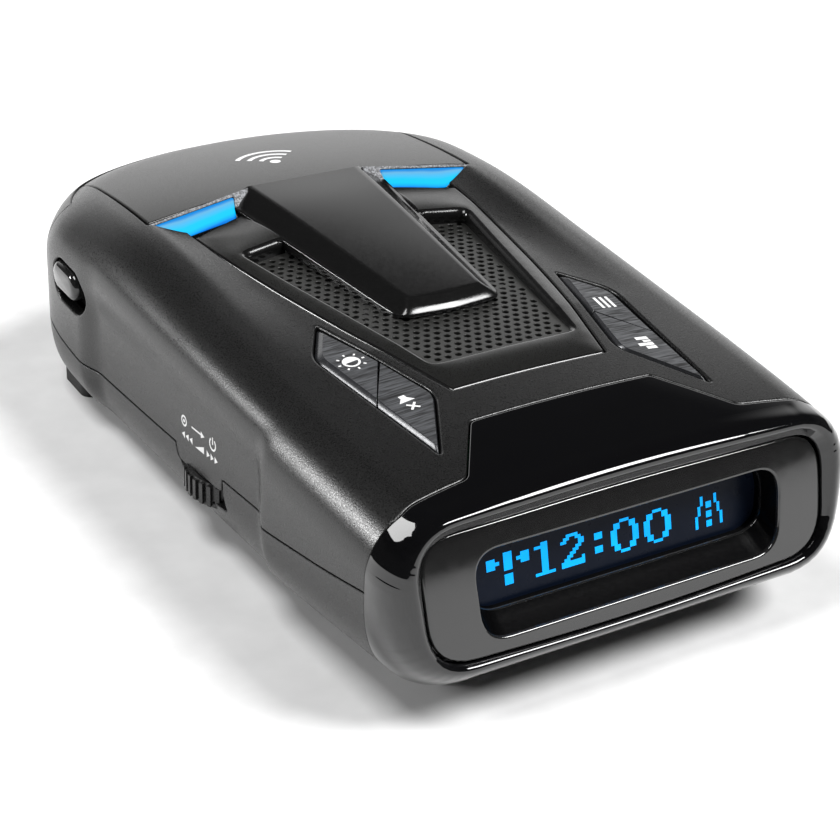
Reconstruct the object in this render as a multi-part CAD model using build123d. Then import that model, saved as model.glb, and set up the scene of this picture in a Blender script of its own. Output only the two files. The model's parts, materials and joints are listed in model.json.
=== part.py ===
from build123d import *
import math
import os

os.makedirs("parts", exist_ok=True)

# Radar detector for a car windshield. The design frame has y = 0 at the foot of the display end and +Y
# towards the windshield, +X to the driver's right, +Z up. ORIGIN is the design-frame point that becomes
# the part's origin: the middle of its footprint, on the surface that the feet stand on. Millimetres.
ORIGIN = Vector(0, 66, -4.7)

# ---- driving dimensions ----
WALL = 2.0              # housing wall
REAR_SPLIT_Y = 8.3      # joint between the display bezel and the covers
FRONT_FACE_Y = 134.0    # foremost point of the housing
WINDOW_DEPTH = 2.2      # thickness of the front window band, along Y
FLOOR_Z = -4.7          # surface the feet stand on
KEY_GAP = 0.25          # clearance round a key
KEY_TRAVEL = 0.6
WHEEL_TRAVEL = 0.8
RELEASE_TRAVEL = 1.5
BIG = 200.0

# Cross-sections along the length: y, deck height, half-width, shoulder radius, height of the lower knee,
# half-width of the underside, height of the underside.
SECTIONS = [
    (-6.0, 27.3, 39.0, 8.0, 15.0, 29.5, 0.5),
    (10.0, 28.6, 39.3, 8.0, 15.0, 30.5, 0.5),
    (40.0, 30.2, 40.2, 8.5, 9.5, 35.0, 0.0),
    (66.0, 31.6, 40.5, 8.5, 8.5, 36.0, -0.8),
    (97.0, 32.9, 40.8, 9.0, 8.0, 36.0, -1.8),
    (120.0, 30.6, 40.8, 9.0, 7.5, 36.0, -2.0),
    (138.0, 26.4, 40.8, 9.0, 7.5, 36.0, -2.0),
]
DECK_CROWN = 1.5        # drop of the deck from its middle to the start of the shoulder

# Right half of the plan outline: display end, rear flare, recessed grip, front flare, nose.
PLAN_RIGHT = [(31.0, 0.4), (38.7, 8.5), (39.9, 36.0), (38.7, 40.5), (38.9, 90.5), (40.7, 96.5), (40.5, 110.0)]
PLAN_CORNER = (37.0, 120.5)
PLAN_NOSE = (22.0, 131.8)

# Height of the joint between the covers, as (y, z).
PARTING = [(REAR_SPLIT_Y - 4, 16.2), (36.0, 9.6), (93.0, 8.0), (98.0, 6.6), (112.0, 6.6), (150.0, 9.0)]

# Pieces let into the deck, right half of each outline, as (x, y).
FRONT_PANEL = [(0, 99.5), (11.0, 99.5), (12.4, 104.5), (30.4, 97.3), (29.0, 120.1), (28.0, 150.0), (0, 150.0)]
CENTRE_FRAME = [(0, 29.5), (13.2, 29.5), (23.8, 85.7), (23.5, 89.8), (13.1, 95.8), (12.4, 104.5), (11.0, 99.5),
                (0, 99.5)]
GRILLE_POCKET = [(0, 37.0), (11.7, 37.0), (20.1, 79.9), (13.6, 83.2), (0, 83.2)]
VISOR = [(0, 21.7), (15.2, 21.7), (22.5, 10.5), (30.0, REAR_SPLIT_Y - 0.1), (0, REAR_SPLIT_Y - 0.1)]
ALERT_LIGHT = [(30.4, 97.3), (12.4, 104.5), (13.1, 95.8), (24.0, 91.0)]
ALERT_LENS = [(28.2, 97.1), (13.6, 102.9), (14.1, 96.4), (23.8, 91.9)]
KEY_OPENING = [(21.2, 54.7), (25.4, 46.6), (22.7, 16.0), (15.6, 29.0)]
KEY_SPLIT_INNER = (18.3, 41.4)
KEY_SPLIT_OUTER = (24.05, 31.2)
FRONT_KEY = [KEY_OPENING[0], KEY_OPENING[1], KEY_SPLIT_OUTER, KEY_SPLIT_INNER]
REAR_KEY = [KEY_SPLIT_INNER, KEY_SPLIT_OUTER, KEY_OPENING[2], KEY_OPENING[3]]

GRILLE_TOP_Z = 29.9
GRILLE_THICK = 1.0
HOLE_PITCH = 1.73
HOLE_R = 0.52
NOSE_REAR_Y = 52.8
NOSE_FRONT_Y = 99.5

BOARD_Z = 10.0
BOARD_THICK = 1.6
BOARD_TOP = BOARD_Z + BOARD_THICK
CASE_SCREWS = [(30.0, 30.0), (-30.0, 30.0), (30.0, 88.5), (-30.0, 88.5)]
BOSS_R = 2.8
BOARD_SCREWS = [(25.0, 22.0), (-25.0, 22.0), (25.0, 94.0), (-25.0, 94.0)]
KEY_BOARD_Z = 20.2
KEY_BOARD_TOP = KEY_BOARD_Z + 1.0
KEY_SWITCH_TOP = KEY_BOARD_TOP + 2.0
KEY_FLANGE_TOP = 25.5
KEY_BOARD_POSTS = [(28.6, 20.5), (28.8, 50.0)]

SLOT_HALF_WIDTH = 14.0
SLOT_TOP_Z = 4.5
SLOT_FLOOR_Z = 0.0
SLOT_BACK_Y = 104.0

WHEEL_X = -31.3
WHEEL_Y = 59.5
WHEEL_R = 8.6
WHEEL_Z = 3.1
WHEEL_THICK = 4.0
AXLE_R = 1.0

RELEASE_Y = 106.3
RELEASE_Z = 18.75
RELEASE_LENGTH = 13.5
RELEASE_HEIGHT = 5.5
RELEASE_FACE_X = -41.0
LATCH_X = -29.6
SPRING_STOP_X = -22.0

JACK_Y = 78.0
JACK_Z = 15.2
JACK_BORE_R = 1.8
JACK_DEPTH = 10.0
JACK_FACE_X = 38.4
USB_Y = 64.0

LEAN = math.atan2(4.0, 15.6)    # the display face leans back by this angle
FACE_POINT = (0, 2.0, 15.5)     # middle of the display face
FASCIA = [(-30.2, -8.0), (30.2, -8.0), (31.3, 8.0), (-31.3, 8.0)]
WINDOW = [(-22.4, -6.0), (22.4, -6.0), (23.4, 5.8), (-23.4, 5.8)]


# ---- small helpers ----
def box(x0, x1, y0, y1, z0, z1):
    return Pos((x0 + x1) / 2, (y0 + y1) / 2, (z0 + z1) / 2) * Box(x1 - x0, y1 - y0, z1 - z0)


def rod(x, y, z0, z1, radius):
    return Pos(x, y, (z0 + z1) / 2) * Cylinder(radius, z1 - z0)


def rod_x(x0, x1, y, z, radius):
    return Pos((x0 + x1) / 2, y, z) * Rot(0, 90, 0) * Cylinder(radius, x1 - x0)


def outline(points):
    return make_face(Polyline(*points, close=True))


def mirrored_outline(half):
    """A closed outline from its right half, whose first and last points lie on the centre line."""
    return half + [(-x, y) for x, y in reversed(half) if x > 0]


def column(points, z0, z1, grow=0.0, corner=0.0):
    """A vertical prism over an outline, grown or shrunk evenly, with rounded corners."""
    face = outline(points)
    if corner:
        face = fillet(face.vertices(), corner)
    if grow:
        face = offset(face, amount=grow, kind=Kind.ARC if grow > 0 else Kind.INTERSECTION)
    return Pos(0, 0, z0) * extrude(face, z1 - z0)


def mirror_x(shape):
    return mirror(shape, Plane.YZ)


def one(shape):
    """The single solid of a boolean result; slivers under a cubic millimetre are dropped."""
    solids = [s for s in shape.solids() if s.volume > 1.0]
    return solids[0] if len(solids) == 1 else Compound(solids)


def interpolate(y, column_index):
    rows = SECTIONS
    for low, high in zip(rows, rows[1:]):
        if y <= high[0]:
            t = (y - low[0]) / (high[0] - low[0])
            return low[column_index] + t * (high[column_index] - low[column_index])
    return rows[-1][column_index]


def deck(y):
    return interpolate(y, 1)


# ---- the housing's envelope, at a given depth under its skin ----
def section(row, inset):
    y, top, half, radius, knee, low_half, low = row
    top, half, radius, low_half, low = top - inset, half - inset, radius - inset, low_half - inset, low + inset
    shoulder_x = half - radius
    shoulder_z = top - DECK_CROWN
    bend = math.sqrt(0.5) * radius
    with BuildSketch(Plane(origin=(0, y, 0), x_dir=(1, 0, 0), z_dir=(0, -1, 0))) as sketch:
        with BuildLine():
            Line((-low_half, low), (low_half, low))
            Line((low_half, low), (half, knee))
            Line((half, knee), (half, shoulder_z - radius))
            ThreePointArc(
                (half, shoulder_z - radius),
                (shoulder_x + bend, shoulder_z - radius + bend),
                (shoulder_x, shoulder_z),
            )
            ThreePointArc((shoulder_x, shoulder_z), (0, top), (-shoulder_x, shoulder_z))
            ThreePointArc(
                (-shoulder_x, shoulder_z),
                (-shoulder_x - bend, shoulder_z - radius + bend),
                (-half, shoulder_z - radius),
            )
            Line((-half, shoulder_z - radius), (-half, knee))
            Line((-half, knee), (-low_half, low))
        make_face()
    return sketch.sketch


def plan_face():
    right = PLAN_RIGHT
    left = [(-x, y) for x, y in reversed(right)]
    with BuildSketch() as sketch:
        with BuildLine():
            ThreePointArc(left[-1], (0, -2.2), right[0])
            Polyline(*right)
            ThreePointArc(right[-1], PLAN_CORNER, PLAN_NOSE)
            ThreePointArc(PLAN_NOSE, (0, FRONT_FACE_Y), (-PLAN_NOSE[0], PLAN_NOSE[1]))
            ThreePointArc((-PLAN_NOSE[0], PLAN_NOSE[1]), (-PLAN_CORNER[0], PLAN_CORNER[1]), left[0])
            Polyline(*left)
        make_face()
    return sketch.sketch


def side_face():
    """Seen from the side: leaning display end, rounded nose. Drawn as (y, z)."""
    corners = [(-2.4, 0.4), (2.2, 28.0), (4.5, 40.0), (126.0, 40.0), (FRONT_FACE_Y, 24.0), (FRONT_FACE_Y, 3.0),
               (130.5, -3.0), (130.5, -8.0), (-0.4, -8.0)]
    face = outline(corners)
    return fillet(face.vertices().sort_by(Axis.X)[-2:], 5.0)


def envelope(inset):
    tube = loft([section(row, inset) for row in SECTIONS], ruled=True)
    plan = offset(plan_face(), amount=-inset, kind=Kind.INTERSECTION) if inset else plan_face()
    side = offset(side_face(), amount=-inset, kind=Kind.INTERSECTION) if inset else side_face()
    across = Plane(origin=(0, 0, 0), x_dir=(0, 1, 0), z_dir=(1, 0, 0)) * side
    return tube & extrude(plan, BIG / 2, both=True) & extrude(across, BIG / 2, both=True)


FACE_PLANE = Plane(origin=FACE_POINT, x_dir=(1, 0, 0), z_dir=(0, -math.cos(LEAN), math.sin(LEAN)))


def face_column(points, depth0, depth1, grow=0.0, corner=0.0):
    """A prism square to the display face, between two depths behind it."""
    face = outline(points)
    if corner:
        face = fillet(face.vertices(), corner)
    if grow:
        face = offset(face, amount=grow, kind=Kind.INTERSECTION)
    return FACE_PLANE * (Pos(0, 0, -depth1) * extrude(face, depth1 - depth0))


SKIN = envelope(0)
CAVITY = envelope(WALL)
SHELL = SKIN - CAVITY
PARTS = {}


# ---- cutters shared by neighbouring pieces ----
def below_parting():
    profile = [(-20.0, -30.0), (-20.0, PARTING[0][1])] + PARTING + [(150.0, -30.0)]
    across = Plane(origin=(0, 0, 0), x_dir=(0, 1, 0), z_dir=(1, 0, 0)) * outline(profile)
    return extrude(across, BIG / 2, both=True)


def window_band():
    """The clear strip round the nose: what lies ahead of the outline moved back, above the joint."""
    ahead = box(-33, 33, 100, 140, 8.9, 27.0) - Pos(0, -WINDOW_DEPTH, 0) * extrude(plan_face(), BIG / 2, both=True)
    return ahead


LOWER = below_parting()
REAR = box(-60, 60, -20, REAR_SPLIT_Y, -20, 60) + column(mirrored_outline(VISOR), 20, 60)
WINDOW_ZONE = window_band()


# ---- deck inserts ----
def nose_cowl():
    rear = Plane(origin=(0, NOSE_REAR_Y, GRILLE_TOP_Z), x_dir=(1, 0, 0), z_dir=(0, 1, 0))
    front = Plane(origin=(0, NOSE_FRONT_Y, GRILLE_TOP_Z), x_dir=(1, 0, 0), z_dir=(0, 1, 0))
    # On these planes the second axis points down, so heights are negative.
    rear_face = rear * outline([(-8.1, 0), (8.1, 0), (6.0, -1.9), (-6.0, -1.9)])
    front_face = front * outline([(-12.4, 0), (12.4, 0), (10.1, -3.4), (-10.1, -3.4)])
    return loft([rear_face, front_face], ruled=True)


def speaker_grille():
    face = offset(outline(mirrored_outline(GRILLE_POCKET)), amount=-0.05, kind=Kind.INTERSECTION)
    row_step = HOLE_PITCH * math.sqrt(3) / 2
    spots = []
    for row in range(30):
        y = 38.0 + row * row_step
        half_width = 11.0 + (y - 38.0) * 0.195
        if y > 79.5:
            break
        shift = 0.5 if row % 2 else 0.0
        for step in range(-16, 17):
            x = (step + shift) * HOLE_PITCH
            under_nose = y > NOSE_REAR_Y + 1 and abs(x) < 8.6 + (y - NOSE_REAR_Y) * 0.09
            if abs(x) < half_width and not under_nose:
                spots.append((x, y))
    holes = Sketch() + [Pos(x, y) * Circle(HOLE_R) for x, y in spots]
    return Pos(0, 0, GRILLE_TOP_Z - GRILLE_THICK) * extrude(face - holes, GRILLE_THICK)


NOSE = nose_cowl()
DECK_ONLY = 20.0
POCKET = column(mirrored_outline(GRILLE_POCKET), 15, 60)
POCKET_SKIRT = column(mirrored_outline(GRILLE_POCKET), GRILLE_TOP_Z - GRILLE_THICK, 60, grow=1.2) - POCKET
FRAME_ZONE = column(mirrored_outline(CENTRE_FRAME), DECK_ONLY, 60)
PANEL_ZONE = column(mirrored_outline(FRONT_PANEL), DECK_ONLY, 60)
LIGHT_ZONE = column(ALERT_LIGHT, DECK_ONLY, 60)
LENS_ZONE = column(ALERT_LENS, DECK_ONLY, 60)

PARTS["nose_cowl"] = NOSE
PARTS["speaker_grille"] = speaker_grille()
PARTS["grille_frame"] = one(((SHELL & FRAME_ZONE) + (SKIN & POCKET_SKIRT & FRAME_ZONE)) - POCKET - NOSE)
SPRING_STOP = box(SPRING_STOP_X, SPRING_STOP_X + 1.5, 102.3, 110.6, 14.5, 40) & SKIN
PARTS["front_panel"] = one((SHELL & PANEL_ZONE) + SPRING_STOP - WINDOW_ZONE - NOSE)
PARTS["alert_lens_right"] = one(SHELL & LENS_ZONE)
PARTS["alert_trim_right"] = one((SHELL & LIGHT_ZONE) - LENS_ZONE)
PARTS["alert_lens_left"] = mirror_x(PARTS["alert_lens_right"])
PARTS["alert_trim_left"] = mirror_x(PARTS["alert_trim_right"])
PARTS["front_window"] = one((SHELL & WINDOW_ZONE) - LOWER)


# ---- keys, their boards and switches ----
KEY_SKIN = envelope(-0.3)


def key(points, neighbour):
    flange_foot = KEY_FLANGE_TOP - 1.0
    cap = KEY_SKIN & column(points, KEY_FLANGE_TOP, 60, grow=-KEY_GAP)
    flange = column(points, flange_foot, KEY_FLANGE_TOP, grow=0.7)
    flange -= column(neighbour, flange_foot - 1, KEY_FLANGE_TOP + 1, grow=0.8)
    centre = outline(points).center()
    post = rod(centre.X, centre.Y, KEY_SWITCH_TOP + KEY_TRAVEL + 0.1, flange_foot, 1.4)
    return cap + flange + post


def key_boards():
    board = box(15.6, 29.9, 16.5, 53.5, KEY_BOARD_Z, KEY_BOARD_TOP)
    for x, y in KEY_BOARD_POSTS:
        board -= rod(x, y, KEY_BOARD_Z - 1, KEY_BOARD_TOP + 1, 0.8)
    for x, y in CASE_SCREWS:
        board -= rod(x, y, KEY_BOARD_Z - 1, KEY_BOARD_TOP + 1, BOSS_R + 0.4)
    return Compound([board.solid(), mirror_x(board).solid()])


def key_switches():
    bodies = []
    for points in (FRONT_KEY, REAR_KEY):
        centre = outline(points).center()
        shoulder = KEY_SWITCH_TOP - 0.5
        body = box(centre.X - 2.2, centre.X + 2.2, centre.Y - 2.2, centre.Y + 2.2, KEY_BOARD_TOP, shoulder)
        body += rod(centre.X, centre.Y, shoulder, KEY_SWITCH_TOP, 1.1)
        bodies += [body.solid(), mirror_x(body).solid()]
    return Compound(bodies)


def key_board_screws():
    screws = []
    for x, y in KEY_BOARD_POSTS:
        screw = rod(x, y, KEY_BOARD_Z, KEY_BOARD_Z + 3.4, 0.6) + rod(x, y, KEY_BOARD_Z - 0.8, KEY_BOARD_Z, 1.3)
        screws += [screw.solid(), mirror_x(screw).solid()]
    return Compound(screws)


PARTS["menu_key"] = one(key(FRONT_KEY, REAR_KEY))
PARTS["mode_key"] = one(key(REAR_KEY, FRONT_KEY))
PARTS["dim_key"] = mirror_x(PARTS["menu_key"])
PARTS["mute_key"] = mirror_x(PARTS["mode_key"])
PARTS["key_boards"] = key_boards()
PARTS["key_switches"] = key_switches()
PARTS["key_board_screws"] = key_board_screws()


# ---- top cover ----
def stadium_x(x0, x1, y, z, length, height):
    """A bar along X whose section is a slot-shaped pill lying along Y."""
    plane = Plane(origin=(x0, y, z), x_dir=(0, 1, 0), z_dir=(1, 0, 0))
    return extrude(plane * SlotOverall(length, height), x1 - x0)


def release_pad():
    return SKIN & box(-45, -36.6, 95.5, 117, 12.2, 25.3)


def brow():
    """The swelling of the top cover over the volume wheel."""
    return stadium_x(-39.4, -36.9, WHEEL_Y, 9.9, 15.0, 3.4)


def top_cover():
    cover = SHELL - LOWER - REAR - WINDOW_ZONE
    cover = cover - FRAME_ZONE - PANEL_ZONE - LIGHT_ZONE - mirror_x(LIGHT_ZONE)
    cover = cover - (SKIN & POCKET_SKIRT) - NOSE
    cover = cover + release_pad() + (brow() - LOWER)
    cover -= stadium_x(-50, -38.6, RELEASE_Y, RELEASE_Z, 16.5, 8.8)
    cover -= stadium_x(-50, -30, RELEASE_Y, RELEASE_Z, RELEASE_LENGTH + 0.5, RELEASE_HEIGHT + 0.5)
    guide = (SKIN & column(KEY_OPENING, KEY_FLANGE_TOP + 0.1, 60, grow=2.0)) - FRAME_ZONE
    guide -= column(KEY_OPENING, 20, 60)
    opening = column(KEY_OPENING, 20, 60)
    cover = cover + guide + mirror_x(guide) - opening - mirror_x(opening)
    for x, y in KEY_BOARD_POSTS:
        post = rod(x, y, KEY_BOARD_TOP, 40, 1.5) & SKIN
        hole = rod(x, y, KEY_BOARD_Z, KEY_BOARD_Z + 4.0, 0.62)
        cover = cover + post + mirror_x(post) - hole - mirror_x(hole)
    for x, y in CASE_SCREWS:
        cover += rod(x, y, BOARD_TOP + 0.4, 40, BOSS_R) & SKIN
        cover -= rod(x, y, 0, 22, 1.15)
    cover -= rod_x(30, 50, JACK_Y, JACK_Z, 3.4)
    cover -= box(35, 50, USB_Y - 4.4, USB_Y + 4.4, BOARD_TOP - 0.3, BOARD_TOP + 3.5)
    return one(cover)


# ---- bottom cover and what it carries ----
def label_plate():
    zone = column([(-22, 40), (22, 40), (22, 76), (-22, 76)], -20, 6, corner=2.0)
    return one((SKIN - envelope(0.4)) & zone)


def foot(x, y):
    block = box(x - 3.6, x + 3.6, y - 5.0, y + 5.0, FLOOR_Z, 5.0)
    block = fillet(block.edges().filter_by(Axis.Z), 2.0)
    return (block - SKIN).solids().sort_by(Axis.Z)[0]


def rubber_feet():
    spots = [(33.4, 113.0), (24.0, 17.0)]
    feet = [foot(x, y) for x, y in spots]
    return Compound(feet + [mirror_x(f).solid() for f in feet])


LABEL = label_plate()
PARTS["label_plate"] = LABEL
PARTS["rubber_feet"] = rubber_feet()


def bracket_tunnel():
    outer = box(-SLOT_HALF_WIDTH - 2, SLOT_HALF_WIDTH + 2, SLOT_BACK_Y - 2, 140, -3, SLOT_TOP_Z + 1.2) & SKIN
    window = box(10.4, SLOT_HALF_WIDTH, RELEASE_Y - 2.3, RELEASE_Y + 2.3, SLOT_TOP_Z - 1, SLOT_TOP_Z + 3)
    return outer - window


def bottom_cover():
    cover = (SHELL & LOWER) - REAR - LABEL
    cover += bracket_tunnel() & LOWER
    cover -= box(-SLOT_HALF_WIDTH, SLOT_HALF_WIDTH, SLOT_BACK_Y, 150, SLOT_FLOOR_Z, SLOT_TOP_Z)
    for x, y in BOARD_SCREWS:
        cover += rod(x, y, -5, BOARD_Z, 2.2) & SKIN
        cover -= rod(x, y, BOARD_Z - 6, BOARD_Z + 1, 0.82)
    for x, y in CASE_SCREWS:
        cover += rod(x, y, -5, BOARD_TOP + 0.4, BOSS_R) & SKIN
        cover -= rod(x, y, -10, 20, 1.3)
        cover -= rod(x, y, -10, 2.4, 2.4)
    cover -= box(-50, -34.0, WHEEL_Y - 8.0, WHEEL_Y + 8.0, 2.2, 8.6)
    for side in (-1, 1):
        y = WHEEL_Y + side * 6.6
        cover += box(-30, -20.5, min(y, y + side), max(y, y + side), 0.5, 2.9)
    return one(cover)


def screw(x, y, head_z, tip_z, shank_r, head_r, head_height):
    """A pan-head screw driven upwards when its tip is above its head, otherwise downwards."""
    way = 1 if tip_z > head_z else -1
    low, high = sorted((head_z, tip_z))
    head_low, head_high = sorted((head_z, head_z - way * head_height))
    body = rod(x, y, low, high, shank_r) + rod(x, y, head_low, head_high, head_r)
    return (body - cross_recess(x, y, head_low if way > 0 else head_high, way)).solid()


def cross_recess(x, y, z, way):
    depth = 0.6
    low, high = sorted((z, z + way * depth))
    return box(x - 0.9, x + 0.9, y - 0.2, y + 0.2, low, high) + box(x - 0.2, x + 0.2, y - 0.9, y + 0.9, low, high)


def case_screws():
    return Compound([screw(x, y, 2.4, 20.0, 1.1, 2.2, 1.6) for x, y in CASE_SCREWS])


def board_screws():
    return Compound([screw(x, y, BOARD_TOP, BOARD_Z - 4.6, 0.8, 1.9, 1.1) for x, y in BOARD_SCREWS])


PARTS["top_cover"] = top_cover()
PARTS["bottom_cover"] = bottom_cover()
PARTS["case_screws"] = case_screws()
PARTS["board_screws"] = board_screws()


# ---- display end ----
def rear_bezel():
    ring = (SHELL & REAR) - CAVITY
    ring -= face_column(FASCIA, -20, 20, corner=4.0)
    return one(ring)


def display_fascia():
    plate = face_column(FASCIA, 0, 1.6, grow=-0.05, corner=4.0) & SKIN
    sleeve = face_column(WINDOW, 0, 5.0, grow=1.2, corner=1.6)
    return one(plate + sleeve - face_column(WINDOW, -5, 20, corner=1.6))


def display_panel():
    return face_column([(-26, -7.2), (26, -7.2), (26, 7.2), (-26, 7.2)], 5.0, 6.6)


def display_board():
    board = face_column([(-28, -8.0), (28, -8.0), (28, 8.0), (-28, 8.0)], 6.6, 7.8)
    return board


def display_cable():
    """A flat ribbon from the back of the display board down to the main board."""
    points = [(9.62, 13.6), (14.5, 13.6), (17.5, BOARD_TOP + 0.2), (22.0, BOARD_TOP + 0.2)]
    band = trace(FilletPolyline(*points, radius=1.0), line_width=0.3)
    across = Plane(origin=(0, 0, 0), x_dir=(0, 1, 0), z_dir=(1, 0, 0)) * band
    return extrude(across, 6.0, both=True)


PARTS["rear_bezel"] = rear_bezel()
PARTS["display_fascia"] = display_fascia()
PARTS["display_panel"] = display_panel()
PARTS["display_board"] = display_board()
PARTS["display_cable"] = display_cable()


# ---- speaker ----
SPEAKER_Y = 52.0
SPEAKER_TOP = 27.7


def turned(profile):
    """A solid of revolution about the speaker's axis from (radius, height) points."""
    face = Plane.XZ * outline(profile)
    return Pos(0, SPEAKER_Y, 0) * revolve(face, Axis.Z)


PARTS["speaker_gasket"] = turned([(11.4, SPEAKER_TOP), (13.2, SPEAKER_TOP), (13.2, GRILLE_TOP_Z - GRILLE_THICK),
                                  (11.4, GRILLE_TOP_Z - GRILLE_THICK)])
PARTS["speaker_basket"] = turned([(11.2, 26.6), (13.8, 26.6), (13.8, SPEAKER_TOP), (10.9, SPEAKER_TOP),
                                  (10.9, 27.1), (6.0, 23.6), (4.6, 23.6), (4.6, 23.0), (6.4, 23.0)])
PARTS["speaker_cone"] = turned([(0, 24.6), (3.0, 24.2), (3.6, 24.0), (10.8, 27.2), (10.8, 27.6), (3.6, 24.5),
                                (3.0, 25.2), (0, 25.8)])
PARTS["speaker_magnet"] = turned([(0, 19.6), (6.3, 19.6), (6.3, 23.0), (4.4, 23.0), (4.4, 23.6), (0, 23.6)])


# ---- volume wheel, which turns, on a carriage that slides in when pressed ----
def volume_wheel():
    wheel = rod(WHEEL_X, WHEEL_Y, WHEEL_Z, WHEEL_Z + WHEEL_THICK, WHEEL_R - 0.5)
    teeth = 36
    for index in range(teeth):
        angle = 360 * index / teeth
        tooth = Pos(WHEEL_X, WHEEL_Y, WHEEL_Z + WHEEL_THICK / 2) * Rot(0, 0, angle)
        wheel += tooth * Pos(WHEEL_R - 0.5, 0, 0) * Box(1.0, 0.7, WHEEL_THICK - 0.6)
    wheel -= rod(WHEEL_X, WHEEL_Y, WHEEL_Z - 1, WHEEL_Z + WHEEL_THICK + 1, AXLE_R + 0.05)
    wheel -= rod(WHEEL_X, WHEEL_Y, WHEEL_Z + WHEEL_THICK - 1.0, WHEEL_Z + WHEEL_THICK + 1, 6.0)
    wheel += rod(WHEEL_X, WHEEL_Y, WHEEL_Z + WHEEL_THICK - 1.0, WHEEL_Z + WHEEL_THICK, 3.0)
    wheel -= rod(WHEEL_X, WHEEL_Y, WHEEL_Z - 1, WHEEL_Z + WHEEL_THICK + 1, AXLE_R + 0.05)
    return wheel


def wheel_carriage():
    plate = box(-33.2, -21.8, WHEEL_Y - 6.4, WHEEL_Y + 6.4, 1.9, 2.9)
    plate += box(-22.4, -21.8, WHEEL_Y - 2.4, WHEEL_Y + 2.4, 2.9, 6.2)
    return plate - rod(WHEEL_X, WHEEL_Y, 0, 4, AXLE_R)


PARTS["volume_wheel"] = volume_wheel()
PARTS["wheel_axle"] = rod(WHEEL_X, WHEEL_Y, 1.9, 8.2, AXLE_R)
PARTS["wheel_carriage"] = wheel_carriage()
PARTS["wheel_switch"] = (
    box(-20.0, -16.6, WHEEL_Y - 2.3, WHEEL_Y + 2.3, 2.0, BOARD_Z)
    + rod_x(-20.0 - 0.9, -20.0, WHEEL_Y, 4.6, 1.1)
)


# ---- bracket release ----
def release_button():
    face = stadium_x(RELEASE_FACE_X, -35.6, RELEASE_Y, RELEASE_Z, RELEASE_LENGTH, RELEASE_HEIGHT)
    face = fillet(face.faces().sort_by(Axis.X)[0].edges(), 1.4)
    flange = stadium_x(-36.5, -35.6, RELEASE_Y, RELEASE_Z, RELEASE_LENGTH + 2.0, RELEASE_HEIGHT + 2.0)
    stem = rod_x(-35.6, -31.0, RELEASE_Y, RELEASE_Z, 1.6)
    return face + flange + stem


def release_latch():
    """An arm down past the main board and a plate over the bracket slot, ending in a tooth."""
    arm = box(-31.0, LATCH_X, RELEASE_Y - 4.0, RELEASE_Y + 4.0, 6.0, 20.6)
    plate = box(-31.0, 12.2, RELEASE_Y - 4.0, RELEASE_Y + 4.0, 6.0, 7.3)
    tooth = box(11.0, 12.2, RELEASE_Y - 1.9, RELEASE_Y + 1.9, 1.6, 6.0)
    spring_post = rod_x(LATCH_X, LATCH_X + 2.0, RELEASE_Y, RELEASE_Z, 1.2)
    return arm + plate + tooth + spring_post


def latch_spring():
    coils, wire_r, coil_r = 6, 0.28, 1.75
    start, end = LATCH_X + wire_r, SPRING_STOP_X - wire_r
    path = Helix(pitch=(end - start) / coils, height=end - start, radius=coil_r)
    section_plane = Plane(origin=path @ 0, z_dir=path % 0)
    coil = sweep(section_plane * Circle(wire_r), path=path, is_frenet=True)
    return Pos(start, RELEASE_Y, RELEASE_Z) * Rot(0, 90, 0) * coil


PARTS["release_button"] = release_button()
PARTS["release_latch"] = release_latch()
PARTS["latch_spring"] = latch_spring()


# ---- electronics ----
def main_board():
    board = box(-29.2, 29.2, 16, 124, BOARD_Z, BOARD_TOP)
    board -= box(-40, -27.0, 100.5, 112.0, BOARD_Z - 1, BOARD_TOP + 1)
    for x, y in BOARD_SCREWS:
        board -= rod(x, y, BOARD_Z - 1, BOARD_TOP + 1, 1.0)
    for x, y in CASE_SCREWS:
        board -= rod(x, y, BOARD_Z - 1, BOARD_TOP + 1, BOSS_R + 0.4)
    return board


def horn_loft(y0, y1, half0, half1, z_low0, z_high0, z_low1, z_high1):
    def mouth(y, half, low, high):
        plane = Plane(origin=(0, y, 0), x_dir=(1, 0, 0), z_dir=(0, -1, 0))
        return plane * outline([(-half, low), (half, low), (half, high), (-half, high)])
    return loft([mouth(y0, half0, z_low0, z_high0), mouth(y1, half1, z_low1, z_high1)], ruled=True)


def horn_antenna():
    outer = horn_loft(95.0, 127.0, 6.0, 19.5, 14.4, 21.6, BOARD_TOP + 0.1, 25.2)
    inner = horn_loft(94.9, 127.1, 5.2, 18.7, 15.2, 20.8, BOARD_TOP + 0.9, 24.4)
    return outer - inner


def rf_housing():
    block = box(-9, 9, 77, 95, BOARD_TOP, 22.4)
    block = fillet(block.edges().filter_by(Axis.Z), 1.5)
    return block - box(-5.2, 5.2, 85, 96, 15.2, 20.8)


def rf_shield():
    can = box(-16, 16, 57, 76, BOARD_TOP, BOARD_TOP + 4.0)
    can = fillet(can.edges().filter_by(Axis.Z), 1.0)
    return can - box(-15.6, 15.6, 57.4, 75.6, BOARD_TOP - 1, BOARD_TOP + 3.6)


def gps_antenna():
    patch = box(14.0, 24.0, 81.0, 91.0, BOARD_TOP, BOARD_TOP + 4.0)
    return patch + box(15.0, 23.0, 82.0, 90.0, BOARD_TOP + 4.0, BOARD_TOP + 4.2)


def laser_sensor():
    body = box(21.0, 28.6, 108.0, 117.0, BOARD_TOP, BOARD_TOP + 6.4)
    lens = Pos(24.8, 116.2, BOARD_TOP + 3.2) * Sphere(2.8)
    return body + lens


def power_jack():
    body = box(27.6, 36.2, JACK_Y - 4.0, JACK_Y + 4.0, BOARD_TOP, JACK_Z + 3.8)
    nose = rod_x(36.2, JACK_FACE_X, JACK_Y, JACK_Z, 3.2)
    return body + nose - rod_x(JACK_FACE_X - JACK_DEPTH, JACK_FACE_X + 1, JACK_Y, JACK_Z, JACK_BORE_R)


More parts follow.
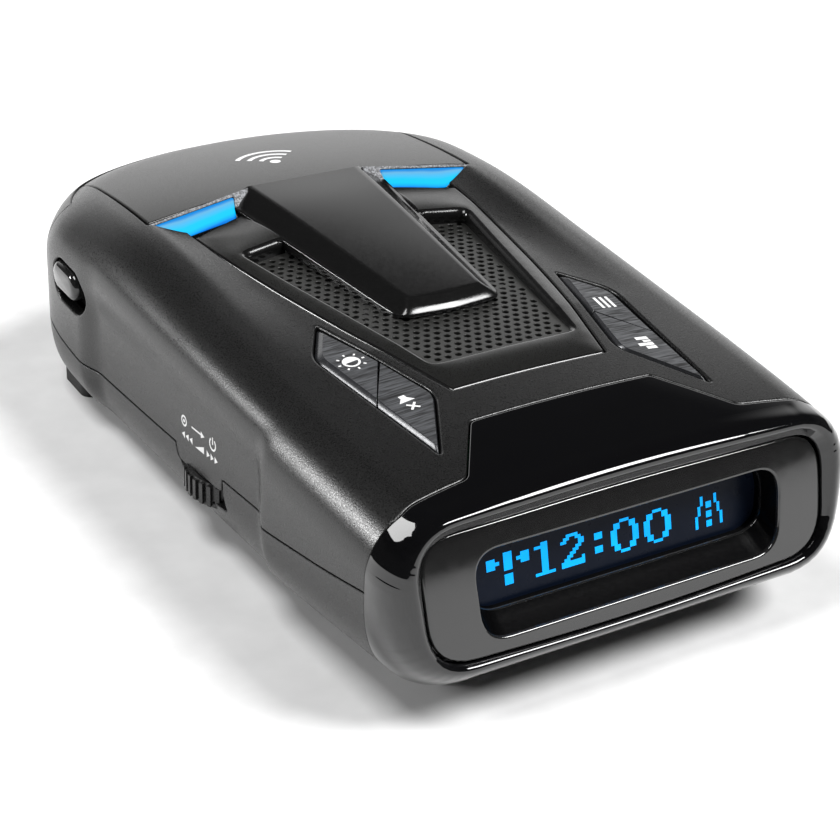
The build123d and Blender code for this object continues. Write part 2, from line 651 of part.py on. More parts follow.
def usb_port():
    shell = box(29.0, 38.2, USB_Y - 4.0, USB_Y + 4.0, BOARD_TOP, BOARD_TOP + 3.2)
    shell = fillet(shell.edges().filter_by(Axis.X), 0.6)
    tongue = box(30.0, 37.0, USB_Y - 2.6, USB_Y + 2.6, BOARD_TOP + 1.2, BOARD_TOP + 2.0)
    return shell - box(30.0, 40, USB_Y - 3.6, USB_Y + 3.6, BOARD_TOP + 0.4, BOARD_TOP + 2.8) + tongue


def alert_led_boards():
    board = box(14.0, 27.0, 93.2, 102.0, 26.8, 27.8)
    return Compound([board, mirror_x(board).solid()])


def alert_leds():
    leds = []
    for x, y in ((17.0, 99.0), (21.0, 97.2), (25.0, 95.4)):
        led = box(x - 1.1, x + 1.1, y - 0.8, y + 0.8, 27.8, 28.6)
        leds += [led, mirror_x(led).solid()]
    return Compound(leds)


PARTS["main_board"] = main_board()
PARTS["horn_antenna"] = horn_antenna()
PARTS["rf_housing"] = rf_housing()
PARTS["rf_shield"] = rf_shield()
PARTS["gps_antenna"] = gps_antenna()
PARTS["laser_sensor"] = laser_sensor()
PARTS["power_jack"] = power_jack()
PARTS["usb_port"] = usb_port()
PARTS["alert_led_boards"] = alert_led_boards()
PARTS["alert_leds"] = alert_leds()

for name, shape in PARTS.items():
    export_step(Pos(*(-ORIGIN)) * shape, f"parts/{name}.step")
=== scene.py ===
import json
import math

import bmesh
import bpy
import numpy as np
from mathutils import Matrix, Vector
from mathutils.geometry import delaunay_2d_cdt

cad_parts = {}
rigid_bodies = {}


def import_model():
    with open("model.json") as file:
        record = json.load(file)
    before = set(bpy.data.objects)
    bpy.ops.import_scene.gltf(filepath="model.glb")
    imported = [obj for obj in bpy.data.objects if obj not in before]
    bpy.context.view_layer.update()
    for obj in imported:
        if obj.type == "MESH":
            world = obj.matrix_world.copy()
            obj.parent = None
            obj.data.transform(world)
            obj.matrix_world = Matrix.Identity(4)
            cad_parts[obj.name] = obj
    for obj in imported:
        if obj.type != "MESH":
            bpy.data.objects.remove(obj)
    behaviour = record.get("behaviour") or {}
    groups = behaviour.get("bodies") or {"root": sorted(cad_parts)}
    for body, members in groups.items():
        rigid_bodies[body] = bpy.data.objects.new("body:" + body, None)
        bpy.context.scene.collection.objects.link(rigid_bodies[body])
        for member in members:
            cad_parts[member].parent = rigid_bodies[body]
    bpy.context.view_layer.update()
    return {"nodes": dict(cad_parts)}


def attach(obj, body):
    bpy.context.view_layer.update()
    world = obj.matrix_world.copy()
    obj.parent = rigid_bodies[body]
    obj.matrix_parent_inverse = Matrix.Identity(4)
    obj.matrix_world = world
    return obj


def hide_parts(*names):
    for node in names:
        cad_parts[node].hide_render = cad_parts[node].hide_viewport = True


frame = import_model()

# Lengths below are millimetres in the design frame: y = 0 at the foot of the display end, +Y towards the
# windshield, +X to the driver's right, +Z up. MIDDLE is the design-frame point at the model's origin.
MM = 0.001
MIDDLE = np.array([0.0, 66.0, -4.7])
ROW_STEP = 0.866     # distance between the rows of a triangular net, in spacings


# ---- curves
def smooth(x, rows):
    """A smooth curve through table rows of a position and a value."""
    xs, ys = np.array(rows, float).T
    slopes = np.gradient(ys, xs)
    x = np.clip(np.asarray(x, float), xs[0], xs[-1])
    i = np.clip(np.searchsorted(xs, x) - 1, 0, len(xs) - 2)
    width = xs[i + 1] - xs[i]
    t = (x - xs[i]) / width
    rise = t * t * (3 - 2 * t)
    return (ys[i] * (1 - rise) + ys[i + 1] * rise
            + width * (slopes[i] * t * (1 - t) ** 2 - slopes[i + 1] * t * t * (1 - t)))


def linear(x, rows):
    return np.interp(x, *zip(*rows))


def ease(x, start, end):
    t = np.clip((np.asarray(x, float) - start) / (end - start), 0, 1)
    return t * t * (3 - 2 * t)


def unit(vectors):
    return vectors / np.maximum(np.linalg.norm(vectors, axis=-1, keepdims=True), 1e-9)


def left_of(vectors):
    """Flat vectors turned a quarter turn to the left."""
    return np.stack([-vectors[:, 1], vectors[:, 0]], -1)


def densify(points, step=0.6):
    """The same polyline with points at most a step apart."""
    points = np.asarray(points, float)
    out = []
    for a, b in zip(points[:-1], points[1:]):
        count = max(1, math.ceil(np.linalg.norm(b - a) / step))
        out += [a + (b - a) * k / count for k in range(count)]
    return np.array(out + [points[-1]])


def run_lengths(points):
    return np.concatenate([[0], np.cumsum(np.linalg.norm(np.diff(points, axis=0), axis=1))])


def along(points, marks, lengths):
    """Points of a polyline at the given run lengths."""
    return np.stack([np.interp(marks, lengths, column) for column in np.transpose(points)], -1)


def resample(points, step):
    lengths = run_lengths(points)
    return along(points, np.linspace(0, lengths[-1], max(2, round(lengths[-1] / step) + 1)), lengths)


def spline(points, step=0.6):
    """A smooth open curve through the points."""
    points = np.asarray(points, float)
    padded = np.concatenate([2 * points[:1] - points[1:2], points, 2 * points[-1:] - points[-2:-1]])
    out = []
    for p0, p1, p2, p3 in zip(padded, padded[1:], padded[2:], padded[3:]):
        out += [0.5 * (2 * p1 + (p2 - p0) * t + (2 * p0 - 5 * p1 + 4 * p2 - p3) * t * t
                       + (3 * p1 - p0 - 3 * p2 + p3) * t ** 3) for t in np.linspace(0, 1, 16, endpoint=False)]
    return resample(np.array(out + [points[-1]]), step)


def bend(start, corner, end, shares):
    """Points of an eased corner."""
    t = shares[:, None]
    return start * (1 - t) ** 2 + 2 * corner * t * (1 - t) + end * t * t


def rounded(corners, radii, step=0.5, closed=True):
    """An outline whose corners are eased over the given distances."""
    corners = np.array(corners, float)
    radii = np.broadcast_to(radii, len(corners))
    out = []
    for k, corner in enumerate(corners):
        if not closed and k in (0, len(corners) - 1):
            out.append(corner)
            continue
        ways = [corners[k - 1] - corner, corners[(k + 1) % len(corners)] - corner]
        start, end = (corner + unit(way) * min(radii[k], 0.49 * np.linalg.norm(way)) for way in ways)
        out.extend(bend(start, corner, end, np.linspace(0, 1, 9)))
    if closed:
        out.append(out[0])
    dense = densify(out, step)
    return dense[:-1] if closed else dense


def mirror(points):
    """The mirror image of a curve in the centre plane, run the other way."""
    return np.asarray(points)[::-1] * np.array([-1.0, 1.0])


def both_sides(half, radii=()):
    """A closed outline from its right half, which starts and ends in the middle, and any edge radii too."""
    left = mirror(half)
    off_middle = np.abs(left[:, 0]) > 1e-6
    loop = np.concatenate([half, left[off_middle]])
    return (loop, np.concatenate([radii, radii[::-1][off_middle]])) if len(radii) else loop


def joined(*parts):
    """An outline of consecutive parts and the edge radii of its points, from pairs of part and radius."""
    return (np.concatenate([part for part, radius in parts]),
            np.concatenate([np.full(len(part), radius) for part, radius in parts]))


def band(edge, far, step=0.6):
    """A closed outline from an edge and a far line run back, and its edge radii: none on the far line."""
    out, back = (densify([a[-1], b[0]], step)[1:-1] for a, b in ((edge, far), (far, edge)))
    return joined((edge, WALL_EDGE), (out, WALL_EDGE), (far, 0), (back, WALL_EDGE))


def area(loop):
    x, y = loop.T
    return 0.5 * np.sum(x * np.roll(y, -1) - y * np.roll(x, -1))


def inside(points, loops):
    """Which points lie inside an odd number of loops."""
    crossings = np.zeros(len(points), int)
    for loop in loops:
        for (x0, y0), (x1, y1) in zip(loop, np.roll(loop, -1, 0)):
            if y0 != y1:
                hit = (points[:, 1] < y0) != (points[:, 1] < y1)
                crossings += hit & (points[:, 0] < x0 + (points[:, 1] - y0) * (x1 - x0) / (y1 - y0))
    return crossings % 2 == 1


def clearance(points, loops):
    """Distance from each point to the nearest point of the loops."""
    edge = np.concatenate(loops)
    best = np.full(len(points), 1e9)
    for start in range(0, len(edge), 100):
        gaps = np.linalg.norm(points[:, None] - edge[None, start:start + 100], axis=2)
        best = np.minimum(best, gaps.min(1))
    return best


def alike(*values):
    """The values as float arrays of one shape."""
    return np.broadcast_arrays(*(np.asarray(value, float) for value in values))


def flat_points(x, y):
    return np.stack([np.ravel(x), np.ravel(y)], -1)


# ---- mesh building
class Form:
    """Points and faces gathered in design millimetres, made into one named piece."""

    def __init__(self):
        self.points = []
        self.faces = []
        self.marks = []

    def add(self, points, faces, mark=0):
        base = len(self.points)
        self.points += [tuple(p) for p in np.asarray(points, float)]
        self.faces += [tuple(base + i for i in face) for face in faces]
        self.marks += [mark] * len(faces)

    def rows(self, rows, closed=False, mark=0, flip=False):
        """A net of quads between rows of equally many points."""
        width = len(rows[0])
        faces = []
        for r in range(len(rows) - 1):
            for k in range(width if closed else width - 1):
                a, b = r * width + k, r * width + (k + 1) % width
                quad = (a, b, b + width, a + width)
                faces.append(quad[::-1] if flip else quad)
        self.add(np.concatenate(rows), faces, mark)

    def fan(self, row, flip=False):
        """Triangles from a closed row to its middle."""
        count = len(row)
        faces = [(k, (k + 1) % count, count) for k in range(count)]
        self.add(np.concatenate([row, [row.mean(0)]]), [f[::-1] for f in faces] if flip else faces)

    def piece(self, name, materials, stands_for=(), body="housing", sharp=40):
        mesh = bpy.data.meshes.new(name)
        mesh.from_pydata([tuple((np.array(p) - MIDDLE) * MM) for p in self.points], [], self.faces)
        for material in materials:
            mesh.materials.append(material)
        mesh.polygons.foreach_set("material_index", self.marks)
        work = bmesh.new()
        work.from_mesh(mesh)
        bmesh.ops.remove_doubles(work, verts=work.verts, dist=0.012 * MM)
        bmesh.ops.dissolve_degenerate(work, edges=work.edges, dist=0.004 * MM)
        work.to_mesh(mesh)
        work.free()
        mesh.shade_smooth()
        mesh.set_sharp_from_angle(angle=math.radians(sharp))
        thing = bpy.data.objects.new(name, mesh)
        bpy.context.scene.collection.objects.link(thing)
        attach(thing, body)
        if stands_for:
            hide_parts(*stands_for)
        return thing


def plate(form, place, loop, radius=0.25, depth=1.6, holes=(), spacing=1.3, extra=None,
          hole_radius=0.3, hole_depth=1.6, edge_mark=0):
    """A sheet over a flat outline with rounded edges and sides. place(p, q, sunk) puts a point of the flat
    domain in space, that far under the surface. Where the edge radius is zero the sheet just ends. The
    sheet's inner points are spaced as told, and extra gives more of them."""
    radii = np.broadcast_to(radius, len(loop))
    if area(loop) < 0:
        loop, radii = loop[::-1], radii[::-1]
    edges = [(loop, radii, depth)]
    for hole in holes:
        hole = hole if area(hole) < 0 else hole[::-1]
        edges.append((hole, np.full(len(hole), hole_radius), hole_depth))
    up = faces_up(place, loop)
    borders = []
    for edge, r, d in edges:
        inward = left_of(unit(np.roll(edge, -1, 0) - np.roll(edge, 1, 0)))
        deep = np.where(r > 0, d, 0)
        rows = [place(*edge.T, r + deep), place(*edge.T, r + deep * 0.02)]
        for phi in np.radians([0, 15, 30, 45, 60, 75, 90]):
            shifted = edge + inward * (r * (1 - np.cos(phi)))[:, None]
            rows.append(place(*shifted.T, r * (1 - np.sin(phi))))
        lip = edge + inward * np.where(r > 0, r + 0.1, 0)[:, None]
        rows.append(place(*lip.T, 0 * r))
        form.rows(rows, closed=True, mark=edge_mark, flip=not up)
        borders.append(lip)
    fill(form, place, borders, spacing, extra)


def fill(form, place, borders, spacing, extra=None):
    """A sheet without edges over the flat area inside the first border and outside the others."""
    low, high = borders[0].min(0), borders[0].max(0)
    p, q = np.meshgrid(np.arange(low[0], high[0], spacing), np.arange(low[1], high[1], spacing * ROW_STEP))
    p = p + (np.arange(p.shape[0]) % 2)[:, None] * spacing / 2
    spots = flat_points(p, q)
    spots = spots[inside(spots, borders)]
    spots = spots[clearance(spots, borders) > 0.45 * spacing]
    if extra is not None:
        more = extra[inside(extra, borders)]
        more = more[clearance(more, borders) > 0.25]
        spots = np.concatenate([spots[clearance(spots, [more]) > 0.4 * spacing], more])
    links, base = [], 0
    for border in borders:
        links += [(base + k, base + (k + 1) % len(border)) for k in range(len(border))]
        base += len(border)
    flat = [tuple(spot) for spot in np.concatenate([*borders, spots])]
    found, _, triangles, *_ = delaunay_2d_cdt(flat, links, [], 0, 1e-5)
    found = np.array([tuple(v) for v in found])
    triangles = np.array(triangles)
    triangles = triangles[inside(found[triangles].mean(1), borders)]
    surface = place(*found.T, np.zeros(len(found)))
    form.add(surface, triangles if faces_up(place, borders[0]) else triangles[:, ::-1])


def faces_up(place, loop):
    """True if anticlockwise triangles of the flat domain face out of the surface."""
    p, q = loop.mean(0)[:, None] + np.array([[0, 0.1, 0, 0], [0, 0, 0.1, 0]])
    a, b, c, under = place(p, q, np.array([0, 0, 0, 0.1]))
    return np.dot(np.cross(b - a, c - a), a - under) > 0


# ---- the housing's skin
DECK = [(-6, 27.3), (10, 28.6), (40, 30.2), (66, 31.6), (97, 32.9), (120, 30.5), (134, 27.7)]
CROWN = 1.5 / 31.5 ** 2
SHOULDER = [(-6, 8.0), (10, 8.0), (60, 8.5), (108, 9.0), (120, 8.6), (128, 6.0), (134, 4.0)]
DISH_START_X = 23.0
DISH_X = 29.4           # soft crease where the deck starts to dip towards the middle
SKIRT = [(5, 16.8), (7.8, 16.2), (14.2, 14.8), (20.1, 13.6), (34.0, 11.2), (35.6, 11.0), (38.3, 11.5),
         (50.4, 10.4), (65.4, 9.0), (79.7, 7.9), (94.0, 6.9), (99.1, 7.0), (102.2, 7.1), (108.7, 7.6),
         (115.0, 8.6), (134, 9.0)]
OUTLINE_HALF = [(38.7, 8.3), (39.35, 22.0), (39.9, 36.0), (40.35, 60.0), (40.6, 85.0), (40.65, 100.0),
                (40.5, 110.0), (39.7, 115.4), (37.5, 120.3), (33.6, 124.9), (28.0, 128.6), (20.5, 131.4),
                (10.5, 133.3), (0, 133.9)]
UNDERSIDE = [(8.3, 0.5), (40, 0.0), (66, -0.8), (97, -1.8), (134, -2.0)]
FLAT_INSET = [(8.3, 8.4), (40, 5.2), (110, 4.4), (134, 3.6)]
LOWER_KNEE = [(8.3, 5.4), (25, 4.0), (45, 3.0), (97, 1.4), (134, 0.6)]
LOWER_RUN = 12.0                 # wall coordinate at which the bottom cover's wall meets the flat underside
BEZEL_Y = 8.3                    # where the covers meet the bezel
GAP = 0.1                        # half the parting line between the covers
WALL_EDGE = 0.22                 # edge radius along the parting line
SEAM_ANGLE = math.radians(60)    # the deck sheet meets the shoulders, and the nose cap, this far round them

RIGHT_SIDE = spline(OUTLINE_HALF)
SIDE_COUNT = len(RIGHT_SIDE)
OUTLINE = np.concatenate([RIGHT_SIDE, mirror(RIGHT_SIDE)[1:]])
OUTLINE_U = run_lengths(OUTLINE)
LENGTH = OUTLINE_U[-1]
OUTLINE_IN = left_of(unit(np.gradient(OUTLINE, axis=0)))


def deck(x, y):
    """Height of the deck before the shoulders, with the shallow dip round the speaker frame."""
    x, y = np.abs(np.asarray(x, float)), np.asarray(y, float)
    dip = np.clip((y - 44) * 0.042, 0, None) * (1 - ease(y, 94.5, 97.5))
    across = 1 - np.clip((x - DISH_START_X) / (DISH_X - DISH_START_X), 0, 1) ** 1.3
    return smooth(y, DECK) - CROWN * x * x - dip * across


def shoulder_radius(y):
    return smooth(y, SHOULDER)


def at(u):
    """The outline's point and inward direction a distance along it."""
    return [np.interp(u, OUTLINE_U, column) for column in (*OUTLINE.T, *OUTLINE_IN.T)]


def recess(y, z):
    """How far the side walls are let in between the two grips' creases."""
    between = ease(y, 35.0, 39.6) * (1 - ease(y, 94.0, 100.5))
    return 1.55 * between * (1 - ease(z, 17.0, 27.0))


def skin(u, v, sunk):
    """A point of the wall and shoulder: u runs round the outline, v up the wall, then round the shoulder."""
    u, v, sunk = alike(u, v, sunk)
    x, y, nx, ny = at(u)
    r = shoulder_radius(y)
    phi = np.clip(v / r, 0, math.pi / 2)
    inset = r * (1 - np.cos(phi))
    z = deck(x + nx * inset, y + ny * inset) - r + r * np.sin(phi) + np.minimum(v, 0)
    inward = inset + recess(y, z) + sunk * np.cos(phi)
    return np.stack([x + nx * inward, y + ny * inward, z - sunk * np.sin(phi)], -1)


def mirrored_skin(u, v, sunk):
    return skin(u, v, sunk) * np.array([-1, 1, 1])


def round_shoulder(angle, u=OUTLINE_U):
    """The plan curve at an angle round the shoulder."""
    x, y, nx, ny = at(u)
    inset = shoulder_radius(y) * (1 - math.cos(angle))
    return np.stack([x + nx * inset, y + ny * inset], -1)


def surface_z(x, y):
    """Height of the skin over a point of the plan."""
    spots = flat_points(x, y)
    r = shoulder_radius(spots[:, 1])
    cos_phi = np.clip(1 - clearance(spots, [OUTLINE]) / r, 0, 1)
    drop = r * (1 - np.sqrt(1 - cos_phi ** 2))
    return (deck(*spots.T) - drop).reshape(np.shape(x))


def over_plan(height, down=1):
    """The place function of a surface with a height over the plan. Sunk points lie below it, or above it
    where down is -1."""
    def place(x, y, sunk):
        x, y, sunk = alike(x, y, sunk)
        return np.stack([x, y, height(x, y) - sunk * down], -1)
    return place


on_deck = over_plan(surface_z)


def skirt_v(u, z):
    """The wall coordinate of a height."""
    x, y = at(u)[:2]
    return z - (deck(x, y) - shoulder_radius(y))


def wall_line(u, z):
    """An outline's wall coordinates from its distances along the outline and heights."""
    return np.stack([u, skirt_v(u, z)], -1)


def u_of(y):
    """Distance along the outline of a place on the right side wall."""
    return np.interp(y, RIGHT_SIDE[:, 1], OUTLINE_U[:SIDE_COUNT])


RINGS = np.concatenate([round_shoulder(math.radians(a))[::2] for a in (63, 67, 71, 75, 79, 83, 87, 90)])
RINGS = RINGS[RINGS[:, 1] > 9.5]
SEAM_RING = round_shoulder(SEAM_ANGLE)
CAP_U = float(np.interp(117.4, RIGHT_SIDE[:SIDE_COUNT - 30, 1], OUTLINE_U[:SIDE_COUNT - 30]))
SIDE_US = OUTLINE_U[OUTLINE_U <= CAP_U]
if SIDE_US[-1] < CAP_U - 0.05:
    SIDE_US = np.append(SIDE_US, CAP_U)


def seam_y(x):
    """Where the seam round the deck's front end is, this far to the right."""
    return np.interp(x, *SEAM_RING[:SIDE_COUNT][::-1].T)


# ---- materials
class Wiring:
    """The nodes of a material or a world. An input is given a value, or the output that feeds it."""

    def __init__(self, owner):
        owner.use_nodes = True
        self.tree = owner.node_tree

    def node(self, kind, inputs, **settings):
        made = self.tree.nodes.new("ShaderNode" + kind)
        for key, value in settings.items():
            setattr(made, key, value)
        self.feed(made, inputs)
        return made

    def feed(self, node, inputs):
        for key, value in inputs.items():
            if isinstance(value, bpy.types.NodeSocket):
                self.tree.links.new(value, node.inputs[key])
            else:
                node.inputs[key].default_value = value

    def noise(self, size, detail, stretch=(1, 1, 1)):
        """Noise in object space, in cells of about the given size in millimetres."""
        where = self.node("TexCoord", {}).outputs["Object"]
        shape = self.node("Mapping", {"Vector": where, "Scale": stretch}).outputs["Vector"]
        inputs = {"Vector": shape, "Scale": 1.0 / (size * MM), "Detail": detail}
        return self.node("TexNoise", inputs).outputs["Fac"]

    def ramp(self, source, low, high, start=0.35, end=0.65, **settings):
        inputs = {"Value": source, "From Min": start, "From Max": end, "To Min": low, "To Max": high}
        return self.node("MapRange", inputs, **settings).outputs["Result"]

    def tones(self, source, stops):
        """A colour ramp from its stops, each a position and a colour."""
        made = self.node("ValToRGB", {"Fac": source})
        elements = made.color_ramp.elements
        for element, (position, colour) in zip(elements, (stops[0], stops[-1])):
            element.position, element.color = position, (*colour, 1)
        for position, colour in stops[1:-1]:
            elements.new(position).color = (*colour, 1)
        return made.outputs["Color"]


def new_material(name):
    material = bpy.data.materials.new(name)
    wiring = Wiring(material)
    wiring.tree.nodes.clear()
    shader = wiring.node("BsdfPrincipled", {})
    wiring.node("OutputMaterial", {"Surface": shader.outputs["BSDF"]})
    return material, wiring, shader


def plastic(name, colour, rough, grain, bump=0, spread=0.06, specular=0.5, coat=0.0, metallic=0.0):
    """Moulded plastic, paint or metal: a colour or grey with slight mottling, and a fine grain."""
    material, wiring, shader = new_material(name)
    colour = np.broadcast_to(colour, 3)
    fine = wiring.noise(grain, 3.0)
    inputs = {"A": (*[c * 0.88 for c in colour], 1), "B": (*[min(1, c * 1.12) for c in colour], 1),
              "Factor": wiring.noise(9.0, 3.0)}
    mix = wiring.node("Mix", inputs, data_type="RGBA")
    uneven = wiring.ramp(fine, max(0.0, rough - spread), min(1, rough + spread))
    wiring.feed(shader, {
        "Base Color": mix.outputs["Result"], "Roughness": uneven, "Specular IOR Level": specular,
        "Coat Weight": coat, "Coat Roughness": 0.04, "Metallic": metallic})
    if bump:
        inputs = {"Strength": bump, "Distance": grain * 0.3 * MM, "Height": fine}
        wiring.feed(shader, {"Normal": wiring.node("Bump", inputs).outputs["Normal"]})
    return material


def glowing(name, colour):
    """A lit display cell, slightly uneven."""
    material, wiring, shader = new_material(name)
    wiring.feed(shader, {
        "Base Color": (*[c * 0.5 for c in colour], 1), "Emission Color": (*colour, 1), "Roughness": 0.2,
        "Specular IOR Level": 0.1, "Emission Strength": wiring.ramp(wiring.noise(4.0, 2.0), 0.85, 1.15)})
    return material


def brushed(name):
    """Dark metal-look plastic with streaks running across the object."""
    material, wiring, shader = new_material(name)
    streaks = wiring.noise(0.34, 6.0, (0.07, 1, 1))
    tone = wiring.tones(streaks, [(0.36, (0.012, 0.012, 0.013)), (0.68, (0.12, 0.124, 0.132))])
    wiring.feed(shader, {"Base Color": tone, "Roughness": wiring.ramp(streaks, 0.55, 0.3), "Metallic": 0.35})
    return material


def sparkle(name):
    """Grey paint full of fine bright flakes."""
    material, wiring, shader = new_material(name)
    tone = wiring.tones(wiring.noise(0.3, 2.0), [(0.42, (0.12, 0.12, 0.125)), (0.66, (0.40, 0.41, 0.43))])
    wiring.feed(shader, {"Base Color": tone, "Roughness": 0.6, "Specular IOR Level": 0.2})
    return material


LENS_STOPS = [(0.04, (0.0, 0.08, 0.55)), (0.14, (0.0, 0.36, 0.88)), (0.28, (0.0, 0.56, 0.95)),
              (0.46, (0.005, 0.55, 0.93)), (0.64, (0.08, 0.46, 0.75)), (0.76, (0.14, 0.42, 0.64)),
              (0.86, (0.01, 0.2, 0.6))]


def lens_material(name):
    """A lit blue lens: paler towards its front edge, deep blue at its rear rim, by the stored height."""
    material, wiring, shader = new_material(name)
    height = wiring.node("Attribute", {}, attribute_name="rise").outputs["Fac"]
    inputs = {0: wiring.noise(5.0, 2.0), 1: 0.12, 2: height}
    level = wiring.node("Math", inputs, operation="MULTIPLY_ADD").outputs["Value"]
    wiring.feed(shader, {
        "Emission Color": wiring.tones(level, LENS_STOPS), "Emission Strength": 1.05,
        "Base Color": (0.0, 0.05, 0.12, 1), "Roughness": 0.45, "Specular IOR Level": 0.04})
    return material


COVER = plastic("cover_black", 0.006, 0.3, 0.22, bump=0.3)
SATIN = plastic("satin_black", (0.008, 0.008, 0.0076), 0.31, 0.14, bump=0.12)
SMOOTH = plastic("cowl_black", 0.006, 0.17, 0.6, spread=0.02, specular=0.6)
GLOSS = plastic("gloss_black", (0.004, 0.004, 0.0045), 0.05, 0.5, spread=0.01, coat=0.5)
FASCIA = plastic("fascia_black", 0.012, 0.13, 2.0, spread=0.02, specular=0.95)
# Painted shade: the display window's tunnel walls use the fascia's black plastic made darker and almost
# without specular, so the recess stays dark whatever the lighting.
TUNNEL_SHADE = plastic("window_tunnel_shade", (0.002, 0.002, 0.0022), 0.2, 0.5, spread=0.02, specular=0.04)
GRILLE = plastic("grille_black", (0.016, 0.016, 0.015), 0.4, 0.12, bump=0.15)
KEY = brushed("key_grey")
POLISHED = plastic("key_edge", (0.03, 0.031, 0.034), 0.26, 0.6, spread=0.02, metallic=0.3)
TRIM = sparkle("trim_grey")
LENS = lens_material("alert_blue")
PRINT = plastic("printed_white", 0.72, 0.5, 0.2)
DISPLAY = plastic("display_glass", (0.004, 0.007, 0.016), 0.3, 2.0, spread=0.03, specular=0.1)
PIXEL = glowing("display_blue", (0.0, 0.39, 1.0))
RUBBER = plastic("foot_rubber", 0.02, 0.8, 0.3, bump=0.3)
BUTTON = plastic("button_gloss", 0.012, 0.12, 0.5, spread=0.02, coat=0.4)
WHEEL = plastic("wheel_black", 0.02, 0.3, 0.3, bump=0.1)
DARK = plastic("inner_plastic", 0.008, 0.6, 0.3, bump=0.1)
STEEL = plastic("steel", (0.45, 0.45, 0.46), 0.3, 0.4, bump=0.1, metallic=1.0)
TIN = plastic("tin", 0.6, 0.35, 0.6, bump=0.1, metallic=1.0)
BOARD = plastic("circuit_board", (0.01, 0.09, 0.035), 0.4, 0.5, bump=0.1)
CLOTH = plastic("soft_dark", 0.03, 0.9, 0.3, bump=0.5)
LABEL = plastic("label_grey", (0.35, 0.35, 0.34), 0.45, 0.4, bump=0.05)
CERAMIC = plastic("patch_ceramic", (0.5, 0.42, 0.3), 0.5, 0.4, bump=0.1)
LED = plastic("led_white", (0.8, 0.8, 0.75), 0.3, 0.4)

NODE_LOOKS = [
    (DISPLAY, ["display_panel"]), (LED, ["display_cable", "alert_leds"]), (CERAMIC, ["gps_antenna"]),
    (BOARD, ["display_board", "key_boards", "main_board", "alert_led_boards"]), (RUBBER, ["rubber_feet"]),
    (DARK, ["key_switches", "wheel_carriage", "wheel_switch", "release_latch", "laser_sensor", "power_jack"]),
    (STEEL, ["key_board_screws", "case_screws", "board_screws", "wheel_axle", "latch_spring",
             "speaker_basket", "speaker_magnet"]),
    (TIN, ["horn_antenna", "rf_housing", "rf_shield", "usb_port"]), (WHEEL, ["volume_wheel"]),
    (CLOTH, ["speaker_gasket", "speaker_cone"]), (LABEL, ["label_plate"]),
]


# ---- covers
PANEL_CORNER_X = 29.8
LIGHT_TIP = (30.2, 95.2)
LIGHT_FRONT_INNER = (10.9, 98.5)
LIGHT_REAR_OUTER = (24.5, 92.2)
FRAME_SIDE = [(13.2, 29.5), (17.5, 46.5), (20.2, 59.5), (22.5, 73.0), (23.8, 82.0), (24.5, 90.2)]
HOOD_LINE = [(15.2, 21.7), (22.5, 10.5), (27.2, 10.0), (31.6, 9.35), (34.3, 8.4)]
HOOD_EASE = [0, 0.8, 1.1, 3.0, 2.0, 0]
HOOD_FRONT_Y = 21.7
FRAME_REAR_Y = 29.5
KEY_OPENING = [(21.2, 54.9), (26.2, 46.4), (22.7, 16.6), (15.5, 30.2)]
RELEASE_Y, RELEASE_Z = 105.6, 19.4
RELEASE_SIZE = (9.6, 5.0)
TAB = [(50.7, 10.3), (50.9, 8.4), (51.8, 8.0), (56.5, 7.6), (61.0, 6.9), (64.2, 6.6), (65.6, 7.3),
       (66.2, 9.1)]
WHEEL_NOTCH = [(66.45, None), (65.8, 7.0), (64.6, 6.3), (63.3, 3.2), (56.5, 3.9), (49.9, 5.0), (50.5, 8.0),
               (50.5, None)]
FOOT_WELLS = [(x, y) for x in (-30.0, 30.0) for y in (30.0, 88.5)]


def stadium(y, z, length, height):
    """A pill-shaped outline on the wall, as wall coordinates."""
    r = height / 2
    half = length / 2 - r
    angles = np.radians(np.arange(-90, 91, 10))
    ends = [(y + half + r * math.cos(a), z + r * math.sin(a)) for a in angles]
    ends += [(y - half - r * math.cos(a), z + r * math.sin(a)) for a in angles[::-1]]
    spots = densify(ends + ends[:1], 0.4)[:-1]
    return wall_line(u_of(spots[:, 0]), spots[:, 1])


def wall_side(form, side):
    """One wall of the top cover with its shoulder, from the parting line up to the deck sheet."""
    y = at(SIDE_US)[1]
    lower = wall_line(SIDE_US, linear(y, SKIRT) + GAP)
    holes = [stadium(78.0, 15.2, 7.2, 7.0), stadium(64.0, 13.2, 9.6, 4.0)]
    if side < 0:
        lower = with_tab(lower)
        holes = [stadium(RELEASE_Y - 1.3, RELEASE_Z - 0.4, 12.8, 7.4)]
    top = np.stack([SIDE_US, shoulder_radius(y) * SEAM_ANGLE], -1)[::-1]
    place = skin if side > 0 else mirrored_skin
    plate(form, place, *band(lower, top), 1.6, holes, 0.9, hole_radius=0.35, hole_depth=1.5)


def with_tab(lower):
    """The parting edge with the tab of the top cover that hangs over the volume wheel."""
    tab = rounded(TAB, [0.1, 0.6, 0.8, 3.0, 3.0, 1.2, 0.8, 0.1], 0.4, closed=False)
    tab = wall_line(u_of(tab[:, 0]), tab[:, 1])
    return spliced(lower, tab, 0.2)


def spliced(line, part, margin):
    """A line with a part of it replaced, and its points nearer than the margin left out."""
    before = line[line[:, 0] < part[0, 0] - margin]
    after = line[line[:, 0] > part[-1, 0] + margin]
    return np.concatenate([before, part, after])


